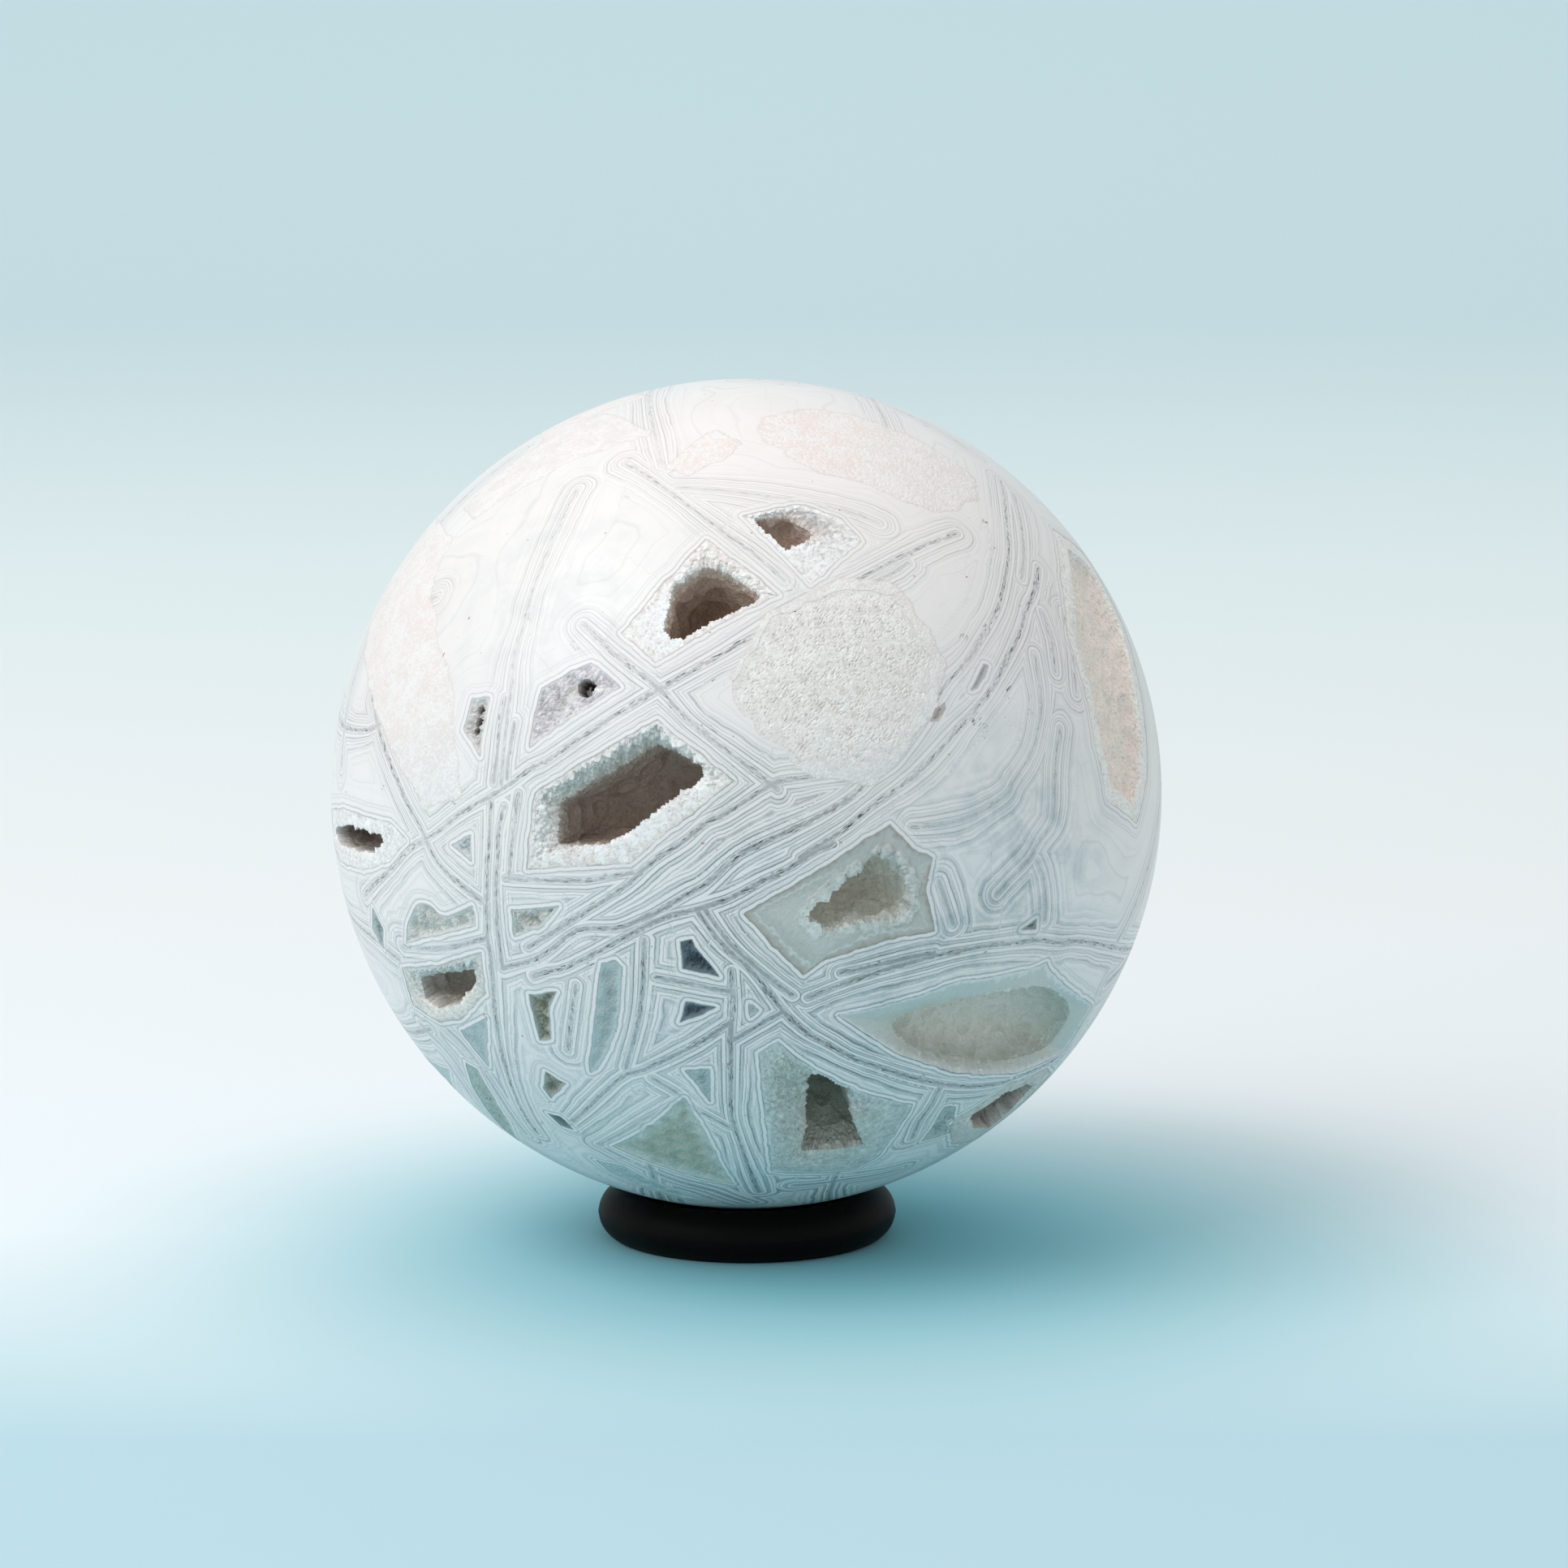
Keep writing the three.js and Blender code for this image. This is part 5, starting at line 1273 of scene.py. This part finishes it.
def within_reach(points, tips, reaches):
    """Every pair of a point and a crystal tip that lie within the crystal's reach of each other."""
    here, there = points.astype(np.float32), tips.astype(np.float32)
    pairs = []
    for first in range(0, len(there), TIPS_AT_ONCE):
        some = there[first:first + TIPS_AT_ONCE]
        apart = (here**2).sum(1)[:, None] + (some**2).sum(1) - 2 * here @ some.T
        point, tip = np.nonzero(apart < reaches[first:first + TIPS_AT_ONCE] ** 2)
        pairs.append(np.stack([point, tip + first]))
    return np.hstack(pairs)


def grow_crystals(points, upright, area, size, random, larger=1.0):
    """How far crystals stand out of a surface, and the number of the crystal at each point. A crystal
    is a pyramid: its height falls off evenly with the greatest reach along its six side directions,
    and where crystals meet the higher one shows."""
    count = max(FEWEST_CRYSTALS, int(area.sum() / (size * CRYSTAL_SPACING) ** 2))
    seeds = random.choice(len(points), count, p=area / area.sum())
    height = size * random.uniform(*CRYSTAL_HEIGHTS, count)
    height[random.uniform(0, 1, count) < BIG_CRYSTALS] *= BIG_CRYSTAL
    height *= np.broadcast_to(larger, len(points))[seeds]
    slope = random.uniform(*CRYSTAL_SLOPES, count)
    axis = unit(upright[seeds] + random.normal(0, CRYSTAL_LEAN, (count, 3)))
    first = unit(np.cross(axis, random.normal(0, 1, (count, 3))))
    second = np.cross(axis, first)
    turn = random.uniform(0, 1, (count, 1)) + np.arange(CRYSTAL_SIDES) * 2 * np.pi / CRYSTAL_SIDES
    sides = first[:, :, None] * np.cos(turn)[:, None] + second[:, :, None] * np.sin(turn)[:, None]
    point, tip = within_reach(points, points[seeds], height / slope * CRYSTAL_REACH)
    away = points[point] - points[seeds[tip]]
    rises = height[tip] - slope[tip] * np.einsum("pi,pis->ps", away, sides[tip]).max(1)
    order = np.argsort(rises)
    stands = np.zeros(len(points))
    owner = np.zeros(len(points), int)
    stands[point[order]] = rises[order]
    owner[point[order]] = tip[order] + 1
    owner[stands <= 0] = 0
    tones = np.append(0, random.uniform(-1, 1, count))
    return np.maximum(stands, 0), tones[owner]


def grid_normals(points):
    """Directions at right angles to a grid surface that closes on itself sideways, seen from inside."""
    sideways = np.roll(points, -1, axis=1) - np.roll(points, 1, axis=1)
    return unit(np.cross(sideways, np.gradient(points, axis=0)))


def grid_areas(points):
    """The area that goes with each point of a grid surface that closes on itself sideways."""
    down_step = np.linalg.norm(np.gradient(points, axis=0), axis=-1)
    side_step = np.linalg.norm(np.roll(points, -1, axis=1) - points, axis=-1)
    return (down_step * side_step).ravel()


def softened(values, count):
    """Values round a ring, each the mean of itself and a count of neighbours on both sides."""
    return np.mean([np.roll(values, shift, axis=0) for shift in range(-count, count + 1)], axis=0)


def under_skin(points):
    """Points held down to just under the ball's surface."""
    return points * np.minimum(1, (BALL_RADIUS - RIM_DROP) / np.linalg.norm(points, axis=-1, keepdims=True))


def hollow_reach(cell, radius, directions, step):
    """How far a hollow reaches in the directions of its cell's outline: softened at its corners, and with
    some rim left all round."""
    inner = reach(flattened(cell["side"], cell["hollow"], cell["axes"]), directions)[:, None]
    inner = softened(inner, round(cell.get("soften", HOLLOW_SOFTNESS) / step))
    return np.minimum(inner, radius - LEAST_RIM)


def crust_profile(cell, radius, inner, lean, step):
    """How far out from the frame's middle and how deep the rows of a crust lie: over the cut rim, which
    sinks by a power, down the wall and over the floor. The hollow's profile is a rounded box: width
    and depth are powers of the cosine and sine of an even angle."""
    sink = cell["sink"] * lean
    share = np.linspace(0, 1, max(FEWEST_ROWS, int((radius - inner).max() / step)))[None, :]
    wall_rows = max(FEWEST_ROWS, int((cell["depth"] + inner.mean()) / step))
    angle = np.linspace(0, math.pi / 2, wall_rows + 1)[None, 1:-1]
    roundness = cell.get("roundness", WALL_ROUNDNESS)
    wall_reach = inner * np.cos(angle) ** roundness
    wall_depth = RIM_DROP + sink + (cell["depth"] - sink) * np.sin(angle) ** roundness
    reaches = np.hstack([radius + (inner - radius) * share, wall_reach]).T
    return reaches, np.hstack([RIM_DROP + sink * share**RIM_CURVE, wall_depth + 0 * wall_reach]).T


def crust_back(cell, outline, directions):
    """The rows of a crust's hidden back and its two poles: from under its floor out to its edge under
    the stone, and up."""
    under = cell["depth"] + cell["crystal"] + CRUST_UNDER
    wide = outline + directions * UNDER_EDGE
    rows = ((outline * CRUST_TAPER, under), (wide, under / 2), (wide, 3 * RIM_DROP))
    back = np.stack([placed(cell["axes"], flat, np.full(len(flat), level)) for flat, level in rows])
    middle_depths = np.array([under, cell["depth"] - cell["crystal"] * POLE_DROP])
    return back, placed(cell["axes"], np.zeros((2, 2)), middle_depths)


def crust_crystals(cell, surface, normals, at_lip, random):
    """How far crystals stand out of a crust's rows, where they are a little larger at the hollow's lip,
    and each one's own tone."""
    larger = 1 + LIP_CRYSTALS * at_lip.ravel()
    grown = grow_crystals(surface.reshape(-1, 3), normals.reshape(-1, 3), grid_areas(surface),
                          cell["crystal"], random, larger)
    return [values.reshape(at_lip.shape) for values in grown]


def crust_roughness(cell, from_hollow, inside):
    """How much of their height the crystals keep, which is less on the wall and nothing at the edge and
    on a smooth margin, and how grainy the crust looks."""
    rough = np.clip((cell.get("lip", LIP) - from_hollow) / LIP_BLEND, 0, 1)
    grain = SMOOTH_GRAIN + (1 - SMOOTH_GRAIN) * rough
    rough *= np.clip(np.arange(len(rough)) / 2, 0, 1)[:, None]
    rough *= 1 + (WALL_ROUGHNESS - 1) * inside
    return rough, grain


def crust_surface(cell, random):
    """A crust as rows of points from the pole under its floor, out to its edge under the stone, in
    over the cut rim, down the wall and over the floor to the middle, with crystals grown over all
    that shows."""
    depth, step = cell["depth"], cell.get("step", CRUST_STEP)
    outline = cell_outline(cell, step)
    radius = np.linalg.norm(outline, axis=1, keepdims=True)
    directions = outline / radius
    inner = hollow_reach(cell, radius, directions, step)
    bearing = np.arctan2(directions[:, 1], directions[:, 0])[:, None]
    lean = 0.5 + 0.5 * np.cos(bearing - math.radians(cell["slope"]))
    reaches, depths = crust_profile(cell, radius, inner, lean, step)
    surface = placed(cell["axes"], directions[None] * reaches[..., None], depths)
    normals = grid_normals(surface)
    from_hollow = np.maximum(reaches - inner.T, 0) + LIP_WAVE * waves(surface, LIP_WAVE_LENGTH)
    at_lip = (reaches >= inner.T) * np.exp(-((from_hollow / LIP_CRYSTALS_REACH) ** 2))
    stands, own = crust_crystals(cell, surface, normals, at_lip, random)
    inside = ramp_up(depths / depth, WALL_FROM, WALL_BY - WALL_FROM)
    rough, grain = crust_roughness(cell, from_hollow, inside)
    lumps = WALL_LUMP * (WALL_LUMP_MIDDLE - np.abs(waves(surface, WALL_LUMP_LENGTH))) * inside
    grown = under_skin(surface + normals * (stands * rough + lumps)[..., None])
    back, poles = crust_back(cell, outline, directions)
    points = np.vstack([poles[:1], back.reshape(-1, 3), grown.reshape(-1, 3), poles[1:]])
    faces = skin_faces(len(back) + len(grown), len(outline))
    inset = radius.T - reaches + ZONE_WAVE * waves(surface, ZONE_WAVE_LENGTH)
    leaning = np.clip(lean * SLOPING_RISE - SLOPING_BELOW, 0, 1).T * np.clip(inset / SLOPING_WIDE, 0, 1)
    rise = stands * rough / cell["crystal"]
    blank = np.zeros(back.shape[0] * back.shape[1])
    values = [np.hstack([0, blank, value.ravel(), 0])
              for value in (inset, depths / depth, own * rough, rise, leaning, grain)]
    values[0][-1] = radius.mean()
    values[1][-1] = 1
    return points, faces, crust_colours(cell, *values)


def crust_colours(cell, inset, down, own, rise, leaning, grain):
    """A colour for each point: the rim's zones by how far in it lies, turned to another colour where
    it slopes most, which is partly painted shade, then the wall's and the floor's by how deep it lies,
    partly painted shade in the hollow, a little lighter or darker for each crystal, and lighter at its
    tip and darker near its foot, a painted highlight and painted shade. The fourth value is how grainy
    the place looks."""
    zones = cell.get("zones", [(0, cell["rim"])])
    places = [where for where, colour in zones]
    colour = np.stack([np.interp(inset, places, [colour[part] for where, colour in zones])
                       for part in range(3)], 1)
    # partly painted shade on the side where the rim slopes most
    colour += (np.array(cell.get("sloping", cell["rim"])) - colour) * leaning[:, None]
    # partly painted shade that comes in with depth down the wall and over the floor
    colour += (np.array(cell["wall"]) - colour) * ramp_up(down, *TO_WALL)[:, None]
    colour += (np.array(cell["floor"]) - colour) * ramp_up(down, *TO_FLOOR)[:, None]
    # own tone, and a painted highlight at the tip and painted shade near the foot
    colour *= (1 + OWN_TONE * own + TIP_PAINTED_LIGHT * (rise - TIP_MIDDLE) * (rise > 0))[:, None]
    return np.hstack([np.clip(colour, DARKEST, LIGHTEST), grain[:, None]])


def dress_crust(name, parts):
    """A piece from one or more crusts, with its colours and its material."""
    points, faces = joined([part[:2] for part in parts])
    piece = make_piece(name, points + ball_middle, faces, smooth=False)
    attribute(piece.data, "tint", "FLOAT_COLOR", np.vstack([part[2] for part in parts]))
    piece.data.materials.append(druse)
    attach(piece, "root")
    return piece


druse, shader, place = new_material("druse_quartz")
tint_read = add(druse.node_tree, "Attribute", attribute_name="tint")
grain_tone, grain_height = grains_of(place, DRUSE_GRAIN)
fleck = ease(noise(place, FLECK_GRAIN, detail=2, rough=0.6), *FLECK_CUT)
tone = times(between(grain_tone, *DRUSE_TONES), scaled(fleck, -FLECK_DARKNESS, 1.0))
tone = mixed(tint_read.outputs["Alpha"], SMOOTH_TONE, tone)
toned = add(druse.node_tree, "VectorMath", {0: tint_read.outputs["Color"], "Scale": tone}, operation="SCALE")
finish_shader(
    shader,
    toned.outputs[0],
    between(grain_tone, *DRUSE_ROUGHNESS),
    bump(grain_height, DRUSE_RELIEF, GRAIN_RELIEF_DEPTH),
    DRUSE_SHINE,
)

random = np.random.default_rng(SEED)
for pocket in POCKETS:
    crust = dress_crust(pocket["name"].replace("druse", "crust"), [crust_surface(pocket, random)])
    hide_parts(pocket["name"])

# The sugary beds
# Quartz grains that fill a small or a wide cell nearly to the brim. The polishing didn't reach the
# grains that lie a little lower, so the beds sparkle where the stone around them is smooth.
BED_STEP = 0.16
BED_EDGE = 0.35  # how far in from its edge a bed has sunk to its depth
BED_MIDDLE, BED_MIDDLE_SHARE = 1.6, 0.8  # how far in it has its middle's colour, and at most of its width
BED_UNDER = 0.7
BED_DEPTHS, BED_DEPTH_LENGTH = (0.75, 0.35), 1.9  # of its depth: the mean and how much it varies
PIT_RIM, PIT_BLEND, PIT_WAVE = 1.06, 0.15, 0.12  # of the pit's radius
# A pit's dark is painted shade, deeper as its shaft goes down
PIT_SHADE_DEPTH, PIT_DARKEST_SHADE = 0.7, 0.04  # the depth at which a pit is darkest, and how dark that is
PIT_SHADE_BROWN = (0.8, 0.95, 1.1)  # powers that leave more red than blue in a pit's dark
MARGIN_WAVE, MARGIN_WAVE_LENGTH = 0.5, 2.3
FADE_WAVE, FADE_WAVE_LENGTH = 0.35, 1.2
SUGAR_BLEND = 0.3
MOTTLE, MOTTLE_LENGTH = 0.03, 4.3
BLOTCH, BLOTCH_LENGTH, BLOTCH_FROM = 0.12, 1.7, 0.55
# The grains get a painted highlight above a share of their height, and painted shade below it
BED_OWN_TONE, BED_TIP_MIDDLE = 0.13, 0.35
BED_DARKEST, BED_LIGHTEST = 0.008, 0.93


def closed_sheet(top, bottom, keep):
    """A closed skin from the kept squares of a grid: its top, its bottom turned over, and walls along
    every edge that only one triangle has. Tells which of the grid's points it uses."""
    total = top.shape[0] * top.shape[1]
    squares = grid_squares(top.shape[:2])[keep]
    triangles = np.vstack([squares[:, [0, 1, 2]], squares[:, [0, 2, 3]]])
    edges = np.vstack([triangles[:, [0, 1]], triangles[:, [1, 2]], triangles[:, [2, 0]]])
    single = ~np.isin(edges[:, 0] * total + edges[:, 1], edges[:, 1] * total + edges[:, 0])
    start, end = edges[single].T
    first_walls = np.stack([end, start, start + total], -1)
    other_walls = np.stack([end, start + total, end + total], -1)
    skin = np.vstack([triangles, triangles[:, ::-1] + total, first_walls, other_walls])
    used, faces = np.unique(skin, return_inverse=True)
    points = np.vstack([top.reshape(-1, 3), bottom.reshape(-1, 3)])
    return points[used], faces.reshape(-1, 3), used


def pit_depths(cell, flat, ball_places):
    """How deep the shafts of a bed's pits are at places: round, a little uneven, with steep walls."""
    shaft = np.zeros(flat.shape[:2])
    for u, v, width, down in cell.get("pits", []):
        centre = (on_ball(cell["side"], [(u, v)]) @ cell["axes"][:2].T)[0]
        away = np.linalg.norm(flat - centre, axis=-1) / (width / 2)
        away *= 1 + PIT_WAVE * waves(ball_places, width)
        shaft = np.maximum(shaft, down * np.clip((PIT_RIM - away) / PIT_BLEND, 0, 1))
    return shaft


def sugar_share(cell, flat, inset, ball_places):
    """From 0 on a bed's smooth margin and faded edge to 1 where its grains lie open."""
    bearing = np.arctan2(flat[..., 1], flat[..., 0]) - math.radians(cell.get("margin_side", 0))
    margin = cell.get("margin", 0) * np.clip(np.cos(bearing), 0, 1)
    fades = cell.get("fades", 0)
    ragged = MARGIN_WAVE * waves(ball_places, MARGIN_WAVE_LENGTH) * (margin > 0)
    ragged += FADE_WAVE * fades * waves(ball_places, FADE_WAVE_LENGTH)
    return np.clip((inset - margin + ragged) / (SUGAR_BLEND + fades), 0, 1)


def bed_colours(cell, inset, sugar, own, rise, shaft, ball_places):
    """A colour for each point: from the rim's to the floor's by how far in it lies, the margin's where
    there is no sugar, mottled, a little lighter or darker for each grain with a painted highlight at its
    tip, and painted shade in the pits."""
    rim, floor = np.array(cell["rim"]), np.array(cell["floor"])
    to_floor = np.clip(inset / min(BED_MIDDLE, inset.max() * BED_MIDDLE_SHARE), 0, 1)[..., None]
    colour = rim + (floor - rim) * to_floor
    colour += (np.array(cell.get("margin_colour", cell["rim"])) - colour) * (1 - sugar)[..., None]
    blotches = BLOTCH * np.clip(waves(ball_places, BLOTCH_LENGTH) - BLOTCH_FROM, 0, 1)
    mottle = MOTTLE * waves(ball_places, MOTTLE_LENGTH) - blotches
    # a painted highlight on the grains' tips and painted shade between them
    tip = cell.get("grain", 1) * TIP_PAINTED_LIGHT * (rise - BED_TIP_MIDDLE)
    colour *= (1 + BED_OWN_TONE * own + tip + sugar * mottle)[..., None]
    # painted shade in the pits
    return colour * np.clip(1 - shaft / PIT_SHADE_DEPTH, PIT_DARKEST_SHADE, 1)[..., None] ** PIT_SHADE_BROWN


def bed_surface(cell, step, random):
    """A bed over a square grid of places: its depth grows from the rim's to its own over the first
    stretch in from the edge, a pit adds a round shaft, and crystals stand up from it."""
    axes, size, grain = cell["axes"], cell["crystal"], cell.get("grain", 1)
    outline = cell_outline(cell, step * 2)
    low, high = outline.min(0) - 2 * UNDER_EDGE, outline.max(0) + 2 * UNDER_EDGE
    flat = np.stack(np.meshgrid(*(np.arange(a, b, step) for a, b in zip(low, high)), indexing="ij"), -1)
    inset = inset_in(flat.reshape(-1, 2), outline).reshape(flat.shape[:2])
    ball_places = placed(axes, flat, inset * 0)
    sunk = np.clip(inset / BED_EDGE, 0, 1)
    mean, change = BED_DEPTHS
    hollows = cell["depth"] * (mean + change * waves(ball_places, BED_DEPTH_LENGTH))
    shaft = pit_depths(cell, flat, ball_places)
    sugar = sugar_share(cell, flat, inset, ball_places)
    surface = placed(axes, flat, RIM_DROP + hollows * sunk * sugar + shaft)
    outward = unit(surface)
    area = np.where(inset > -UNDER_EDGE, step**2, 0)
    stands, own = grow_crystals(surface.reshape(-1, 3), outward.reshape(-1, 3), area.ravel(), size, random)
    stands = stands.reshape(inset.shape) * sunk * sugar * grain**0.5
    own = own.reshape(inset.shape) * sugar * grain
    grown = under_skin(surface + outward * stands[..., None])
    corners = (inset[:-1, :-1], inset[1:, :-1], inset[1:, 1:], inset[:-1, 1:])
    keep = np.minimum.reduce(corners) > -UNDER_EDGE
    points, faces, used = closed_sheet(grown, surface - outward * BED_UNDER, keep)
    colour = bed_colours(cell, inset, sugar, own, stands / size, shaft, ball_places)
    colour = np.clip(np.vstack([colour.reshape(-1, 3)] * 2)[used], BED_DARKEST, BED_LIGHTEST)
    return points, faces, np.hstack([colour, np.full((len(colour), 1), grain)])


dress_crust("sugar_beds", [bed_surface(bed, BED_STEP, random) for bed in BEDS])

# The floor, the light and the camera
# A pale sheet that runs back and curves up, a large soft light from the upper left, and a long
# lens that looks down on the ball a little.

# The sheet's colour at distances behind the ball in mm, paler further back: painted light, standing in for
# how the light falls over the sheet
SHEET_COLOURS = [
    (-80, (0.49, 0.70, 0.77, 1)), (0, (0.84, 0.91, 0.94, 1)), (190, (0.87, 0.90, 0.92, 1)),
    (540, (0.84, 0.94, 0.95, 1)), (1400, (0.74, 0.93, 0.98, 1)),
]
# A darker blue painted shadow on the sheet close under the ball, centred a little right of its foot
SHEET_SHADOW = (0.27, 0.62, 0.70, 1)  # the bluer sheet close under the ball
SHEET_SHADOW_MIDDLE = (10.0, -4.0, 0.0)
SHEET_SHADOW_REACH = (10.0, 90.0)
SHEET_ROUGHNESS, SHEET_SHINE = 0.9, 0.1
SWEEP_SIDE = 2400.0
SWEEP_FRONT = -900.0
SWEEP_BACK = 1100.0
SWEEP_RADIUS = 500.0
SWEEP_TOP = 1500.0
SWEEP_STEPS = 24  # round its bend
CAMERA_DISTANCE = 15 * BALL_RADIUS
CAMERA_RISE = 9.0
IMAGE_SIZE = 1932
BALL_PIXEL = (920, 978)
BALL_PIXEL_RADIUS = 511.5
SENSOR_WIDTH = 36.0
NEAREST_SEEN = 0.01  # in m
KEY_PLACE = (-620.0, -420.0, 780.0)
KEY_SIZE = 800.0
KEY_POWER = 5.0
TOP_PLACE = (-100.0, 100.0, 1200.0)
TOP_SIZE = 1500.0
TOP_POWER = 4.0
SKY_COLOUR = (1.0, 1.0, 1.0, 1)
SKY_STRENGTH = 0.58


def sweep_profile():
    """The sweep's line y, z: flat, a quarter circle, then straight up."""
    turn = np.linspace(0, math.pi / 2, SWEEP_STEPS)
    bend = np.stack([SWEEP_BACK + SWEEP_RADIUS * np.sin(turn), SWEEP_RADIUS * (1 - np.cos(turn))], 1)
    return np.vstack([[SWEEP_FRONT, 0], bend, [SWEEP_BACK + SWEEP_RADIUS, SWEEP_TOP]])


def bpy_vector(values):
    """Three numbers as one of Blender's vectors."""
    return type(bpy.context.scene.cursor.location)(values)


def point_at(thing, place_mm, target_mm):
    """Puts a lamp or a camera at a place and turns it to face another, with its top up."""
    place, target = (bpy_vector(np.array(point) * MM) for point in (place_mm, target_mm))
    thing.location = place
    thing.rotation_euler = (target - place).to_track_quat("-Z", "Y").to_euler()
    bpy.context.scene.collection.objects.link(thing)


def soft_light(name, place_mm, size, power):
    """A square lamp that faces the ball."""
    lamp = bpy.data.lights.new(name, "AREA")
    lamp.size = size * MM
    lamp.energy = power
    point_at(bpy.data.objects.new(name, lamp), place_mm, ball_middle)


def sheet_colours(place):
    """The sheet's colour, with painted light: paler further back, and a darker blue painted shadow close
    under the ball.
    """
    tree = tree_of(place)
    near, far = SHEET_COLOURS[0][0], SHEET_COLOURS[-1][0]
    back = add(tree, "SeparateXYZ", {"Vector": place}).outputs["Y"]
    how_far = add(tree, "MapRange", {"Value": back, "From Min": near, "From Max": far}).outputs[0]
    ramp = add(tree, "ValToRGB", {"Fac": how_far})
    stops = ramp.color_ramp.elements
    for distance, colour in SHEET_COLOURS[1:-1]:
        stops.new((distance - near) / (far - near))
    for stop, (distance, colour) in zip(stops, SHEET_COLOURS):
        stop.position = (distance - near) / (far - near)
        stop.color = colour
    flat_place = add(tree, "VectorMath", {0: place, 1: (1, 1, 0)}, operation="MULTIPLY").outputs[0]
    from_foot = add(tree, "VectorMath", {0: flat_place, 1: SHEET_SHADOW_MIDDLE}, operation="DISTANCE")
    return blend_colour(ease(from_foot.outputs["Value"], *SHEET_SHADOW_REACH), SHEET_SHADOW, ramp.outputs[0])


profile = sweep_profile()
sweep_points = np.vstack([np.hstack([np.full((len(profile), 1), x), profile])
                          for x in (-SWEEP_SIDE / 2, SWEEP_SIDE / 2)])
one_side = np.arange(len(profile) - 1)
other_side = one_side + len(profile)
sweep_faces = np.stack([one_side, other_side, other_side + 1, one_side + 1], 1)
sweep = make_piece("sweep", sweep_points, sweep_faces, smooth=True)
paper, shader, place = new_material("pale_sweep")
paper.node_tree.links.new(sheet_colours(place), shader.inputs["Base Color"])
shader.inputs["Roughness"].default_value = SHEET_ROUGHNESS
shader.inputs["Specular IOR Level"].default_value = SHEET_SHINE
sweep.data.materials.append(paper)

soft_light("key_light", KEY_PLACE, KEY_SIZE, KEY_POWER)
soft_light("top_light", TOP_PLACE, TOP_SIZE, TOP_POWER)
world = bpy.data.worlds.new("studio")
world.use_nodes = True
sky = world.node_tree.nodes["Background"]
sky.inputs["Color"].default_value = SKY_COLOUR
sky.inputs["Strength"].default_value = SKY_STRENGTH
bpy.context.scene.world = world
bpy.context.scene.view_settings.view_transform = "Standard"

# The camera stands where the ball's outline and place come out as they are in the picture
pixel_slope = math.tan(math.asin(BALL_RADIUS / CAMERA_DISTANCE)) / BALL_PIXEL_RADIUS
right, up, out = side_axes((0, CAMERA_RISE))
offset = (IMAGE_SIZE / 2 - BALL_PIXEL[0]) * right + (BALL_PIXEL[1] - IMAGE_SIZE / 2) * up
lens = bpy.data.cameras.new("camera")
lens.sensor_width = SENSOR_WIDTH
lens.lens = SENSOR_WIDTH / (IMAGE_SIZE * pixel_slope)
lens.clip_start = NEAREST_SEEN
camera = bpy.data.objects.new("camera", lens)
point_at(camera, ball_middle + out * CAMERA_DISTANCE, ball_middle + offset * pixel_slope * CAMERA_DISTANCE)
bpy.context.scene.camera = camera
